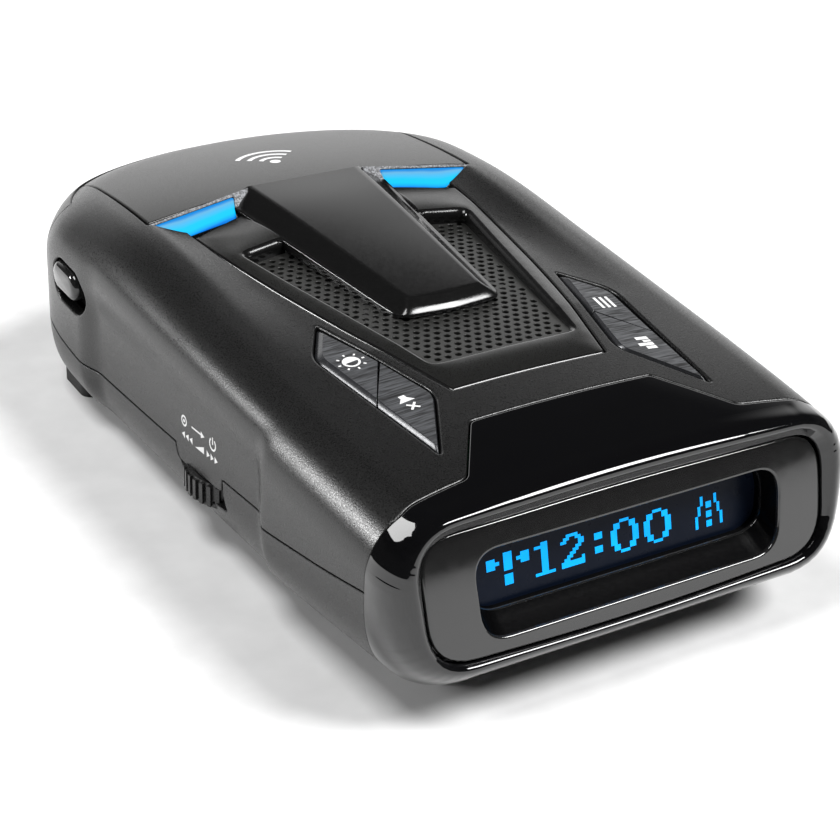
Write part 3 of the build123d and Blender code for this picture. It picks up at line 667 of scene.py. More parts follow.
def top_cover():
    form = Form()
    wall_side(form, 1)
    wall_side(form, -1)
    rim = round_shoulder(SEAM_ANGLE, SIDE_US)
    nose = round_shoulder(SEAM_ANGLE, np.arange(CAP_U + 0.6, CAP_U + 30, 0.6))
    nose = nose[nose[:, 0] > PANEL_CORNER_X + 0.2]
    corner = (PANEL_CORNER_X, seam_y(PANEL_CORNER_X))
    inner = np.concatenate([densify([corner, LIGHT_TIP]), densify([LIGHT_TIP, LIGHT_REAR_OUTER])[1:],
                            spline(FRAME_SIDE[::-1])])
    rear = densify([FRAME_SIDE[0], (0, FRAME_REAR_Y)])[1:]
    back = rounded([(0, HOOD_FRONT_Y)] + HOOD_LINE, HOOD_EASE, 0.6, closed=False)
    half = joined((back, 0.3), (rim, 0), (nose, 0.25), (inner, 0.25), (rear, 0.25))
    opening = rounded(KEY_OPENING, [0.8, 2.4, 0.9, 2.2], 0.4)
    plate(form, on_deck, *both_sides(*half), 1.8, [opening, mirror(opening)], extra=RINGS,
          hole_radius=0.45, hole_depth=3.0)
    form.piece("top_cover_shell", [COVER], ["top_cover"])


def front_panel():
    form = Form()
    gap = 0.12
    corner_x = PANEL_CORNER_X - 0.18
    corner = (corner_x, seam_y(corner_x) - gap)
    rear = rounded([(0, 99.4), (9.6, 99.0), LIGHT_FRONT_INNER, (LIGHT_TIP[0] - 0.5, LIGHT_TIP[1] + 0.3)],
                   [3, 3, 0.5, 0.2], 0.5, closed=False)
    side = densify([rear[-1], corner])[1:]
    seam = SEAM_RING[:SIDE_COUNT]
    nose = seam[(seam[:, 0] < corner_x) & (seam[:, 1] > 110)] - np.array([0, gap])
    right = np.concatenate([rear, side, nose])
    right = right[np.append(True, np.diff(run_lengths(right)) > 0.05)]
    plate(form, over_plan(panel_z), both_sides(right), 0.25, 2.6, extra=RINGS)
    form.piece("front_panel_skin", [SATIN], ["front_panel"])


def panel_z(x, y):
    """The front panel isn't dished: its rear edge stands above the speaker frame."""
    clear_y = np.maximum(y, 97.6)
    return surface_z(x, clear_y) - deck(x, clear_y) + smooth(y, DECK) - CROWN * x * x


def nose_cap():
    form = Form()
    start, end = CAP_U + 0.12, LENGTH - CAP_U - 0.12
    us = OUTLINE_U[(OUTLINE_U > CAP_U + 0.1) & (OUTLINE_U < LENGTH - CAP_U - 0.1)]
    us = np.concatenate([[start], us, [end]])
    y = at(us)[1]
    low = wall_line(us, linear(y, SKIRT) + GAP)
    high = np.stack([us, shoulder_radius(y) * SEAM_ANGLE - 0.1], -1)[::-1]
    loop, _ = band(low, high)
    plate(form, skin, loop, WALL_EDGE, 1.5, spacing=0.9)
    form.piece("nose_cap", [SATIN], ["front_window"])


def lower_skin(u, w, sunk):
    """The bottom cover's wall: w runs from 0 at the parting line, down and under to the flat underside."""
    u, w, sunk = alike(u, w, sunk)
    x, y, nx, ny = at(u)
    start_z = linear(y, SKIRT) - GAP
    start = recess(y, start_z)
    flat_z = linear(y, UNDERSIDE)
    knee_z = linear(y, LOWER_KNEE)
    t = np.clip(w / LOWER_RUN, 0, 1)
    points = [(start, start_z), (start, start_z * 0.45 + knee_z * 0.55),
              (start + 0.8, knee_z * 0.4 + flat_z * 0.6), (linear(y, FLAT_INSET), flat_z)]
    weights = [(1 - t) ** 3, 3 * t * (1 - t) ** 2, 3 * t * t * (1 - t), t ** 3]
    slopes = [-3 * (1 - t) ** 2, 3 * (1 - t) ** 2 - 6 * t * (1 - t), 6 * t * (1 - t) - 3 * t * t, 3 * t * t]
    inset, z, d_in, d_z = (sum(share * point[k] for share, point in zip(shares, points))
                           for shares in (weights, slopes) for k in (0, 1))
    size = np.maximum(np.hypot(d_in, d_z), 1e-6)
    inward = inset - sunk * d_z / size
    return np.stack([x + nx * inward, y + ny * inward, z + sunk * d_in / size], -1)


def lower_w(u, z):
    """The wall coordinate of the bottom cover at a height."""
    ws = np.linspace(0, LOWER_RUN, 121)
    return float(np.interp(-z, -lower_skin(u, ws, 0.0)[:, 2], ws))


def bottom_cover():
    form = Form()
    us = OUTLINE_U
    zero = np.zeros(len(us))
    corners = []
    for y, z in WHEEL_NOTCH:
        u = LENGTH - float(u_of(y))
        corners.append((u, 0.0 if z is None else lower_w(u, z)))
    notch = rounded(corners, [0, 0.3, 0.4, 0.6, 0.4, 0.6, 0.2, 0], 0.4, closed=False)
    upper = spliced(np.stack([us, zero], -1), notch, 0.3)
    foot = np.stack([us, zero + LOWER_RUN], -1)[::-1]
    middle = LENGTH / 2
    slot = rounded([(middle + u, w) for u, w in ((-14, 4.6), (14, 4.6), (14, 9.2), (-14, 9.2))], 0.6)
    plate(form, lower_skin, *band(upper, foot, 0.8), 1.6, [slot], 1.0, hole_depth=14.0)
    rim = lower_skin(us, zero + LOWER_RUN, 0)[:, :2]
    rear = densify([rim[-1], rim[0]], 0.8)[1:-1]
    wells = [circle(x, y, 2.4) for x, y in FOOT_WELLS]
    underside = over_plan(lambda x, y: linear(y, UNDERSIDE), down=-1)
    plate(form, underside, *joined((rim, 0), (rear, WALL_EDGE)), 1.6, wells, 2.5, hole_depth=4.0)
    form.piece("bottom_cover_shell", [COVER], ["bottom_cover"])


def circle(x, y, r, count=28):
    angles = np.linspace(0, 2 * math.pi, count, endpoint=False)
    return np.stack([x + r * np.cos(angles), y + r * np.sin(angles)], -1)


# ---- speaker frame, grille and cowl
POCKET = [(0, 37.0), (11.9, 37.0), (20.1, 80.2), (13.3, 81.8)]
COWL_FOOT_REAR = (9.0, 50.6)
COWL_FOOT_FRONT = (14.3, 95.6)
COWL_TOP_REAR = (6.3, 53.0)
COWL_TOP_FRONT = (10.3, 99.2)
HOLE_PITCH = 1.73
HOLE_R = 0.53
# The cowl's cross-section: shares of the way from its foot to its crest, and heights at its own scale.
COWL_LOW = 30.05
COWL_RISE = 1.75
COWL_SIDE = [(0.0, 28.9), (0.0, 29.9), (0.01, 30.05), (0.05, 30.13), (0.12, 30.15), (0.19, 30.17),
             (0.25, 30.26), (0.3, 30.42), (0.36, 30.55), (0.6, 31.05), (0.84, 31.52), (0.93, 31.7),
             (0.97, 31.77), (1.0, 31.8)]
COWL_REAR = [(0.34, 28.9), (0.22, 29.3), (0.06, 29.6), (-0.01, 29.9), (0.0, 30.16), (0.04, 30.32),
             (0.17, 30.62), (0.31, 30.92), (0.38, 31.03), (0.5, 31.18), (0.8, 31.55), (0.92, 31.7),
             (0.97, 31.77), (1.0, 31.8)]


def cowl_foot_x(y):
    (rear_x, rear_y), (front_x, front_y) = COWL_FOOT_REAR, COWL_FOOT_FRONT
    return rear_x + (y - rear_y) * (front_x - rear_x) / (front_y - rear_y)


def grille_frame():
    form = Form()
    outer = spline(FRAME_SIDE, 0.5) - np.array([0.14, 0.0])
    outer = outer[(outer[:, 1] > 30.0) & (outer[:, 1] < 89.0)]
    front = (cowl_foot_x(94.6) - 0.4, 94.6)
    inner = [front, (cowl_foot_x(81.9) - 0.4, 81.9), *POCKET[::-1]]
    inner_line = rounded(inner, [0.1, 0.1, 0.3, 1.3, 1.0, 0], 0.5, closed=False)
    bent = rounded([outer[-1], (24.3, 90.3), front], [0, 1.2, 0], 0.5, closed=False)
    rear = densify([(0, FRAME_REAR_Y + 0.15), (13.0, FRAME_REAR_Y + 0.15)], 0.5)
    loop = both_sides(np.concatenate([rear, outer, bent[1:-1], inner_line]))
    near_pocket = both_sides(densify([(0, 36.0), (13.2, 36.0), (21.6, 81.0), (12.0, 83.0), (0, 83.0)], 1))
    radius = np.where(inside(loop, [near_pocket]), 1.0, 0.35)
    inner_edge = both_sides(densify(POCKET + [(0, 81.8)], 0.5))
    outer_edge = both_sides(densify([(0, FRAME_REAR_Y)] + FRAME_SIDE + [(13.9, 95.0), (0, 95.0)], 0.5))

    def place(x, y, sunk):
        """The deck with a soft ridge between the pocket and the seam."""
        spots = flat_points(x, y)
        from_pocket = clearance(spots, [inner_edge])
        share = np.clip(from_pocket / (from_pocket + clearance(spots, [outer_edge])), 0, 1)
        ridge = 0.45 * np.sin(np.pi * share ** 0.7) - 0.15 * share
        return on_deck(x, y, sunk - ridge.reshape(np.shape(x)))

    plate(form, place, loop, radius, 2.2, spacing=1.0, edge_mark=1)
    form.piece("speaker_frame", [SATIN, SMOOTH], ["grille_frame"])


def speaker_grille():
    form = Form()
    holes = []
    for row in range(29):
        y = 38.0 + row * HOLE_PITCH * ROW_STEP
        for step in range(-12, 13):
            x = (step + (0.5 if row % 2 else 0.0)) * HOLE_PITCH
            under_cowl = y > 53 and abs(x) < cowl_foot_x(y) - 1.4
            if abs(x) < 11.0 + (y - 38.0) * 0.192 and not under_cowl:
                holes.append(circle(x, y, HOLE_R, 14))

    place = over_plan(lambda x, y: 29.75 - 0.023 * (y - 38.0) - CROWN * 0.6 * x ** 2)
    loop = both_sides(densify([(0, 36.6), (12.2, 36.6), (20.8, 80.9), (13.0, 82.6), (0, 82.6)], 1.0))
    plate(form, place, loop, 0.05, 0.8, holes, 3.0, hole_radius=0.1, hole_depth=0.8)
    form.piece("perforated_grille", [GRILLE], ["speaker_grille"])


def cowl_loop(rear, front, passes):
    """An open outline from the front right round the rear to the front left, its corners worn down."""
    right = [front, (rear[0], rear[1] + 0.6), (0, rear[1] - 0.35)]
    corners = np.concatenate([right, mirror(right)[1:]])
    line = []
    for a, b, count in zip(corners, corners[1:], (70, 22, 22, 70)):
        line += [a * (1 - t) + b * t for t in np.linspace(0, 1, count, endpoint=False)]
    line = np.array(line + [corners[-1]])
    for _ in range(passes):
        line[1:-1] = 0.25 * line[:-2] + 0.5 * line[1:-1] + 0.25 * line[2:]
    return line


def nose_cowl():
    form = Form()
    foot = cowl_loop(COWL_FOOT_REAR, (COWL_FOOT_FRONT[0] + 0.3, 99.2), 14)
    crest = cowl_loop(COWL_TOP_REAR, COWL_TOP_FRONT, 3)
    foot_z = smooth(foot[:, 1], [(50, 30.0), (55, 30.05), (75, 30.55), (92, 30.95), (100, 31.1)])
    crest_z = smooth(crest[:, 1], [(50, 31.6), (53, 31.75), (75, 32.6), (90, 33.02), (100, 33.12)])
    at_rear = 1 - ease(foot[:, 1], COWL_FOOT_REAR[1] + 0.5, COWL_FOOT_REAR[1] + 2.2)
    rows = []
    for on_side, on_rear in zip(COWL_SIDE, COWL_REAR):
        share, z = (a * (1 - at_rear) + b * at_rear for a, b in zip(on_side, on_rear))
        level = (z - COWL_LOW) / COWL_RISE
        spot = foot * (1 - share[:, None]) + crest * share[:, None]
        rows.append(np.column_stack([spot, foot_z * (1 - level) + crest_z * level]))
    form.rows(rows, flip=True)
    count = len(crest) // 2 + 1
    rows = []
    for t in np.linspace(0, 1, 25):
        bulge = 0.12 * (1 - (2 * t - 1) ** 2) * np.sin(np.linspace(0, math.pi, count))
        spot = crest[:count] * (1 - t) + crest[::-1][:count] * t
        rows.append(np.column_stack([spot, crest_z[:count] + bulge]))
    form.rows(rows, flip=True)
    form.piece("cowl", [SMOOTH], ["nose_cowl"], sharp=60)


# ---- alert lights
LIGHT_CORNERS = [(10.7, 98.4, 33.25), (30.0, 94.9, 31.6), (24.35, 93.0, 28.8), (12.3, 95.3, 29.6)]
LIGHT_SIZE = (16, 4)     # the flat domain of a light's face
LENS_LOOP = [(2.4, 0.5), (15.8, 0.34), (15.75, 3.95), (2.7, 3.95)]


def facet(corners):
    """The place function of a light's four-sided, slightly twisted face."""
    a, b, c, d = (np.array(k, float) for k in corners)
    normal = unit(np.cross(b - a, d - a))
    normal *= np.sign(normal[2])

    def place(p, q, sunk):
        p, q, sunk = (k[..., None] for k in alike(p, q, sunk))
        p, q = p / LIGHT_SIZE[0], q / LIGHT_SIZE[1]
        return (a * (1 - p) + b * p) * (1 - q) + (d * (1 - p) + c * p) * q - normal * sunk
    return place


def alert_lights():
    width, height = LIGHT_SIZE
    for side, name in ((1, "right"), (-1, "left")):
        place = facet([(x * side, y, z) for x, y, z in LIGHT_CORNERS])
        form = Form()
        outer = rounded([(0, 0), (width, 0), (width, height), (0, height)], 0.05)
        hole = rounded(LENS_LOOP, 0.35, 0.3)
        plate(form, place, outer, 0.05, 2.0, [hole], 0.6, hole_radius=0.12, hole_depth=0.8)
        form.piece(f"light_trim_{name}", [TRIM], [f"alert_trim_{name}"])
        form = Form()
        plate(form, place, rounded(LENS_LOOP, 0.5, 0.3), 0.35, 0.8, spacing=0.5)
        lens = form.piece(f"light_lens_{name}", [LENS], [f"alert_lens_{name}"])
        rise = lens.data.attributes.new("rise", "FLOAT", "POINT")
        for vertex in lens.data.vertices:
            x, y, z = np.array(vertex.co) / MM + MIDDLE
            front = linear(abs(x), [(10.7, 98.3), (30.0, 94.9)])
            rear = linear(abs(x), [(12.3, 95.8), (24.35, 93.1), (30.0, 93.1)])
            rise.data[vertex.index].value = float(np.clip((y - rear) / (front - rear), 0, 1))
        lens.visible_glossy = False
        lens.visible_diffuse = False
        light_surround(side, name)


def light_surround(side, name):
    """The black band between a light and the speaker frame."""
    form = Form()
    front = resample([(11.6, 95.8), (12.3, 95.5), (24.4, 93.2), (29.0, 93.3)], 0.6)
    rear = spline([(11.6, 93.5), (14.2, 94.2), (24.2, 89.6), (25.2, 89.4)])
    shares = np.linspace(0, 1, 40)
    front, rear = (line[(shares * (len(line) - 1)).astype(int)] for line in (front, rear))
    rows = []
    for t in np.linspace(0, 1, 6):
        x, y = (front * (1 - t) + rear * t).T
        z_front = linear(x, [(12.3, 29.75), (24.35, 28.95), (30, 29.2)])
        rows.append(np.stack([x * side, y, z_front * (1 - t) + (deck(x, y) - 0.55) * t], -1))
    form.rows(rows, flip=side > 0)
    form.piece(f"light_surround_{name}", [GLOSS])


# ---- keys
# Each key's foot and top outlines with the easing of their corners.
FRONT_KEY = [([(21.35, 54.3), (25.9, 46.4), (24.15, 31.45), (18.42, 41.0)], [0.7, 1.8, 0.2, 0.2]),
             ([(21.6, 51.8), (24.95, 45.9), (23.5, 32.6), (18.75, 40.8)], [0.4, 1.6, 0.15, 0.15])]
REAR_KEY = [([(18.3, 40.8), (24.1, 31.2), (22.6, 17.2), (15.75, 30.1)], [0.2, 0.2, 0.9, 1.6]),
            ([(18.6, 40.3), (23.5, 32.3), (22.2, 18.4), (16.3, 29.7)], [0.15, 0.15, 0.7, 1.4])]
KEY_TOP = 0.19           # height of the keys' flat tops over the deck
KEY_SECTION = [(0, 3.0), (0, 0.9), (0, 0.62), (0.08, 0.46), (0.5, 0.14), (0.85, -0.12), (0.95, -0.17),
               (1.0, -KEY_TOP)]


def key_cap(word, shape, side):
    form = Form()
    sign = np.array([side, 1.0])
    foot, top = (matched_loop(corners, radii) for corners, radii in shape)
    rows = []
    for share, sink in KEY_SECTION:
        spot = foot * (1 - share) + top * share
        rows.append(np.column_stack([spot * sign, surface_z(*spot.T) - sink]))
    form.rows(rows, closed=True, mark=1, flip=side < 0)
    plate(form, over_plan(lambda x, y: surface_z(x, y) + KEY_TOP), top * sign, 0, 0.0, spacing=1.0)
    form.piece(f"{word}_key_cap", [KEY, POLISHED], [f"{word}_key"], f"{word}_key_body")


def matched_loop(corners, radii):
    """A closed outline whose points match those of any other outline with as many corners."""
    corners = np.array(corners, float)
    before, after = (unit(np.roll(corners, shift, 0) - corners) for shift in (1, -1))
    starts, ends = (corners + way * np.array(radii)[:, None] for way in (before, after))
    out = []
    for k, corner in enumerate(corners):
        out.extend(bend(starts[k], corner, ends[k], np.linspace(0, 1, 7, endpoint=False)))
        following = starts[(k + 1) % len(corners)]
        out += [ends[k] * (1 - t) + following * t for t in np.linspace(0, 1, 26, endpoint=False)]
    return np.array(out)


def keys():
    key_cap("menu", FRONT_KEY, 1)
    key_cap("mode", REAR_KEY, 1)
    key_cap("dim", FRONT_KEY, -1)
    key_cap("mute", REAR_KEY, -1)


# ---- display end
LEAN = math.atan2(4.0, 15.6)
FACE_MIDDLE = np.array([0, 2.0, 15.5])
FACE_RIGHT = np.array([1.0, 0, 0])
FACE_OUT = np.array([0, -math.cos(LEAN), math.sin(LEAN)])
FACE_UP = np.array([0, math.sin(LEAN), math.cos(LEAN)])
FASCIA_CORNERS = [(-32.7, -9.1), (0, -9.9), (32.7, -9.1), (33.4, 8.95), (0, 9.6), (-33.4, 8.95)]
FASCIA_EASE = [6.5, 12, 6.5, 6.0, 12, 6.0]
FASCIA_HALF = (33.0, 9.0)
WINDOW_CORNERS = [(-24.6, -7.1), (24.6, -7.1), (25.5, 5.4), (-25.3, 5.4)]
WINDOW_WALL = [(0.0, 0.62), (0.3, 1.55), (0.62, 2.5), (0.93, 3.4), (0.985, 3.58), (1.0, 3.8), (1.0, 5.4)]


def on_face(a, b, sunk):
    a, b, sunk = (k[..., None] for k in alike(a, b, sunk))
    return FACE_MIDDLE + a * FACE_RIGHT + b * FACE_UP - sunk * FACE_OUT


def crowned_face(a, b, sunk):
    """The display face bulges slightly, so that its top and its ends turn away."""
    a, b, sunk = alike(a, b, sunk)
    a_share, b_share = a / FASCIA_HALF[0], b / FASCIA_HALF[1]
    bulge = 0.75 * np.clip(b_share, 0, None) ** 2 + 0.1 * np.clip(-b_share, 0, None) ** 2 + 0.5 * a_share ** 4
    return on_face(a, b, sunk + bulge)


def section_curve():
    """Half the covers' cross-section where the bezel joins them, from the top middle to the bottom middle."""
    r = float(shoulder_radius(BEZEL_Y))
    side = skin(0.0, np.linspace(r * math.pi / 2, float(skirt_v(0.0, 15.5)), 40), 0)[:, [0, 2]]
    low = lower_skin(0.0, np.linspace(0, LOWER_RUN, 40), 0)[:, [0, 2]]
    deck_x = np.linspace(0, side[0, 0], 30, endpoint=False)
    floor_x = np.linspace(low[-1, 0], 0, 30)[1:]
    return np.concatenate([np.column_stack([deck_x, deck(deck_x, BEZEL_Y)]), side, low,
                           np.column_stack([floor_x, np.full(29, low[-1, 1])])])


def at_angles(points, middle_z, half_x, half_z, angles):
    """Points of a half outline, run from top to bottom, at angles from up scaled by its half sizes."""
    turn = np.arctan2(np.abs(points[:, 0]) / half_x, (points[:, 1] - middle_z) / half_z)
    return along(points, angles, np.maximum.accumulate(turn))


def rear_bezel():
    form = Form()
    angles = np.linspace(0, math.pi, 301)
    start = at_angles(section_curve(), 14.7, 38.6, 14.0, angles)
    fascia = rounded(FASCIA_CORNERS, FASCIA_EASE, 0.3)
    right = fascia[fascia[:, 0] >= 0]
    right = right[np.argsort(np.arctan2(right[:, 0] / FASCIA_HALF[0], right[:, 1] / FASCIA_HALF[1]))]
    edge = at_angles(right, 0, *FASCIA_HALF, angles)
    up = np.clip(np.cos(angles), 0, 1) ** 1.2
    down = np.clip(-np.cos(angles), 0, 1)
    ahead = np.gradient(edge, axis=0)
    ahead[0], ahead[-1] = (1, 0), (-1, 0)
    outward = left_of(unit(ahead))
    reach, height = 1.15 + 0.75 * up - 0.7 * down, 0.85 + 0.6 * up - 0.55 * down
    crests = on_face(*(edge + outward * reach[:, None]).T, -height)
    grooves = on_face(*(edge + outward * np.array([0.16, 0.12])).T, 0.4)
    profiles = []
    for (x, z), out, crest, groove in zip(start, outward, crests, grooves):
        foot = np.array([x, BEZEL_Y, z])
        out = out[0] * FACE_RIGHT + out[1] * FACE_UP
        ahead_of_foot = foot + np.array([0, -0.55, -0.04 * (z > 20)]) * (BEZEL_Y - crest[1])
        outside_crest = crest + 0.55 * max(0.4, float(np.dot(foot - crest, out))) * out
        profiles.append(bezel_profile(foot, ahead_of_foot, outside_crest, crest, groove))
    profiles = np.array(profiles)
    left = profiles[::-1][1:-1] * np.array([-1, 1, 1])
    form.rows(list(np.concatenate([profiles, left]).swapaxes(0, 1)), closed=True)
    hood(form)
    form.piece("display_bezel", [GLOSS], ["rear_bezel"], sharp=50)


def bezel_profile(p0, c0, c1, crest, groove):
    """From the covers over the rounded flank to the crest, then down to the groove round the fascia."""
    t = np.linspace(0, 1, 22)[:, None]
    flank = p0 * (1 - t) ** 3 + 3 * c0 * t * (1 - t) ** 2 + 3 * c1 * t * t * (1 - t) + crest * t ** 3
    ease_by = min(0.55, 0.45 * np.linalg.norm(groove - crest))
    kept = flank[np.linalg.norm(flank - crest, axis=1) > ease_by]
    end = crest + unit(groove - crest) * ease_by
    turn = bend(kept[-1], crest, end, np.linspace(0, 1, 8))
    slope = [end + (groove - end) * share for share in (0.33, 0.66, 1.0)]
    line = np.concatenate([kept[:-1], turn, slope])
    lengths = run_lengths(line)
    marks = lengths[-1] * (1 - (1 - np.linspace(0, 1, 34)) ** 1.25)
    return np.concatenate([along(line, marks, lengths), [groove - FACE_OUT * 1.6]])


def hood(form):
    """The glossy sheet between the covers' rear joint and the ring."""
    corners = [(x - 0.12, y - 0.13) for x, y in HOOD_LINE[:-1]]
    joint = rounded([(0, HOOD_FRONT_Y - 0.15), *corners, (34.2, 8.34)], HOOD_EASE, 0.5, closed=False)
    end = densify([(34.2, 8.28), (0, 8.28)], 0.5)[:-1]
    plate(form, on_deck, *both_sides(*joined((joint, 0.28), (end, 0))), 1.2, spacing=0.8)


def display_fascia():
    form = Form()
    outer = rounded(FASCIA_CORNERS, FASCIA_EASE, 0.4) * np.array([0.9955, 0.984])
    window = rounded(WINDOW_CORNERS, 4.2, 0.35)
    plate(form, crowned_face, outer, 0.45, 1.2, [window], 1.6, hole_radius=0.35, hole_depth=0.3)
    a, b = window.T
    rise = 2.75 * np.clip(-b / 6.3, 0, 1) ** 0.8
    rows = [crowned_face(a * (1 - 0.02 * share), b + share * rise, depth) for share, depth in WINDOW_WALL]
    # Rows marked 1 take the darkened tunnel material, painted shade on the window's walls; the rows marked 0
    # between them are the glossy fascia bevel.
    for first, last, mark in ((0, 3, 1), (3, 5, 0), (5, 6, 1)):
        form.rows(rows[first:last + 1], closed=True, flip=True, mark=mark)
    form.piece("fascia_plate", [FASCIA, TUNNEL_SHADE], ["display_fascia"], sharp=50)


SIGNAL = "....XX.... XX..XX..XX XXX.XX.XXX XX..XX..XX ....XX.... .......... ....XX.... ....XX.... ....XX...."
ONE = "...XX.. .XXXX.. ...XX.. ...XX.. ...XX.. ...XX.. ...XX.. ...XX.. ...XX.. ...XX.. .XXXXXX"
TWO = ("..XXXX.. .XX..XX. XX....XX ......XX .....XX. ....XX.. ...XX... ..XX.... .XX....X XXXXXXXX "
       "XXXXXXXX")
ZERO = ("...XXX... .XX...XX. .XX...XX. XX.....XX XX.....XX XX.....XX XX.....XX XX.....XX .XX...XX. "
        ".XX...XX. ...XXX...")
ROAD = ("..X....X.. ..X....X.. ..X.XX.X.. .X..XX..X. .X......X. .X..XX..X. X...XX...X X........X "
        "X...XX...X X...XX...X")
COLON = "XX XX XX .. .. .. XX XX XX"
# Each lit sign: its rows of cells, its left and top, and a cell's width and height.
DISPLAY_SIGNS = [
    (SIGNAL, -20.8, 2.5, 0.68, 0.52), (ONE, -13.7, 2.4, 0.54, 0.43), (TWO, -8.9, 2.4, 0.48, 0.43),
    (COLON, -3.35, 1.4, 0.66, 0.33), (ZERO, -0.6, 2.35, 0.52, 0.445), (ZERO, 5.0, 2.25, 0.52, 0.445),
    (ROAD, 13.9, 2.1, 0.48, 0.47)]


def display_content():
    """Lit cells of the display as small flat tiles."""
    form = Form()
    for sign, left, top, width, height in DISPLAY_SIGNS:
        for r, row in enumerate(sign.split()):
            for c in (c for c, mark in enumerate(row) if mark == "X"):
                a, b = left + c * width, top - r * height
                corners = [(a, b - height), (a + width, b - height), (a + width, b), (a, b)]
                form.add([on_face(*corner, 4.93) for corner in corners], [(0, 1, 2, 3)])
    form.piece("display_pixels", [PIXEL])


# ---- printed symbols
def stroke(points, width):
    """The outline of a line of some width."""
    points = np.asarray(points, float)
    aside = left_of(unit(np.gradient(points, axis=0))) * width / 2
    return np.concatenate([points + aside, (points - aside)[::-1]])


def arc(radius, start, end, centre=(0.0, 0.0)):
    angles = np.radians(np.linspace(start, end, max(4, int(abs(end - start) / 8))))
    return np.stack([centre[0] + radius * np.cos(angles), centre[1] + radius * np.sin(angles)], -1)


def bar(left, right, low, high):
    return np.array([(left, low), (right, low), (right, high), (left, high)], float)


# A sign is a list of shapes; a shape is an outline followed by the outlines of its holes.
DIM_SIGN = [[arc(1.35, 0, 351), arc(1.0, 0, 351)], [arc(1.0, 90, 270)]]
DIM_SIGN += [[stroke([(r * math.cos(a), r * math.sin(a)) for r in (1.75, 2.2)], 0.3)]
             for a in np.radians(np.arange(0, 360, 45))]
MUTE_SIGN = [[np.array([(-1.8, -0.5), (-1.1, -0.5), (-0.2, -1.3), (-0.2, 1.3), (-1.1, 0.5), (-1.8, 0.5)])],
             [stroke([(0.5, -0.7), (1.9, 0.7)], 0.36)], [stroke([(0.5, 0.7), (1.9, -0.7)], 0.36)]]
MENU_SIGN = [[bar(-1.7, 1.7, t - 0.24, t + 0.24)] for t in (-1.0, 0.0, 1.0)]
TOWN_SIGN = [[bar(-1.8, -1.0, -1.2, 0.5)], [bar(-0.8, 0.0, -1.2, 1.3)], [bar(0.2, 0.8, -1.2, 0.1)],
             [bar(1.0, 1.8, -1.2, 0.9)]]
WAVE_SIGN = [[stroke(arc(r, 40, 140, (0, -4.2)), 0.85)] for r in (2.6, 4.7, 6.8)]
WAVE_SIGN += [[arc(0.95, 0, 345, (0, -4.0))]]
WHEEL_SIGN = [[arc(0.95, 0, 351, (-5.2, 1.35)), arc(0.62, 0, 351, (-5.2, 1.35))],
              [arc(0.3, 0, 330, (-5.2, 1.35))],
              [bar(-2.6, 0.6, 1.2, 1.5)], [np.array([(0.5, 0.75), (1.7, 1.35), (0.5, 1.95)])],
              [stroke(arc(0.95, 125, 415, (4.4, 1.3)), 0.33)], [bar(4.24, 4.56, 1.25, 2.5)],
              [np.array([(-1.5, -1.6), (1.5, -1.6), (1.5, -0.4)])]]
WHEEL_SIGN += [[np.array([(s * k, -1.65), (s * k, -0.45), (s * (k + 1.0), -1.05)])] for s in (-1, 1)
               for k in (2.4, 3.7, 5.0)]
PRINT_HEIGHT = 0.02


def printed(name, sign, place, spacing=0.7, body="housing"):
    form = Form()
    for shape in sign:
        fill(form, place, shape, spacing)
    form.piece(name, [PRINT], body=body)


def key_sign(sign, word, key, middle, side):
    """A printed sign on a key, read along the key with its top towards the object's middle."""
    def place(p, q, sunk):
        x = middle[0] + p * 0.10 * side + q * -0.995
        y = middle[1] + p * 0.995 * side + q * 0.10
        return np.stack([x * side, y, surface_z(x, y) + KEY_TOP + 0.015 - sunk], -1)

    printed(f"{word}_sign", sign, place, body=f"{key}_key_body")


def on_wheel_wall(p, q, sunk):
    """The left wall round the volume wheel, its signs read along the parting line."""
    u = u_of(57.9 - p)
    return mirrored_skin(u, skirt_v(u, 13.25 + q + 0.085 * p), sunk - PRINT_HEIGHT)


def on_nose(p, q, sunk):
    return over_plan(panel_z)(p, 113.5 + q, sunk - PRINT_HEIGHT)


def prints():
    key_sign(DIM_SIGN, "dim", "dim", (22.0, 42.6), -1)
    key_sign(MUTE_SIGN, "mute", "mute", (20.2, 29.6), -1)
    key_sign(MENU_SIGN, "menu", "menu", (22.0, 42.6), 1)
    key_sign(TOWN_SIGN, "town", "mode", (20.2, 29.6), 1)
    printed("wheel_signs", WHEEL_SIGN, on_wheel_wall)
    printed("wave_emblem", WAVE_SIGN, on_nose, 0.8)


# ---- release button
# Each row of the pill: how far it stands out from the pill's own outline, and its place across the object.
PILL_ROWS = [(3.0, -36.3), (3.0, -37.2), (0.1, -37.3), (0.0, -39.0), (0.0, -40.0), (-0.25, -40.55),
             (-0.7, -40.85), (-1.3, -40.98)]


def release_button():
    """The pill, with the flange behind the wall that keeps it in."""
    form = Form()
    angles = np.radians(np.arange(-90, 90, 10))
    rows = []
    for grow, x in PILL_ROWS:
        r = RELEASE_SIZE[1] / 2 + grow
        half = RELEASE_SIZE[0] / 2 + grow - r
        ends = [(x, RELEASE_Y + way * (half + r * math.cos(a)), RELEASE_Z + way * r * math.sin(a))
                for way in (1, -1) for a in angles]
        rows.append(np.array(ends))
    form.rows(rows, closed=True, flip=True)
    form.fan(rows[0])
    form.fan(rows[-1], flip=True)
    form.piece("release_pill", [BUTTON], ["release_button"], "release")


# ---- set and camera
HORIZON_TOP = 0.50       # heights of the view direction between which the backdrop's light fades in
HORIZON_EDGE = 0.34
HORIZON_LIGHT = 1.5
ROOM_LIGHT = 0.02
BACKDROP_SIDE = (0.35, 0.94, 0.0)
CAMERA_PLACE = (-0.147265, -0.244212, 0.167570)
CAMERA_AXES = [(0.86008, -0.50867, 0.03887), (0.21970, 0.43808, 0.87167), (-0.46042, -0.74117, 0.48854)]


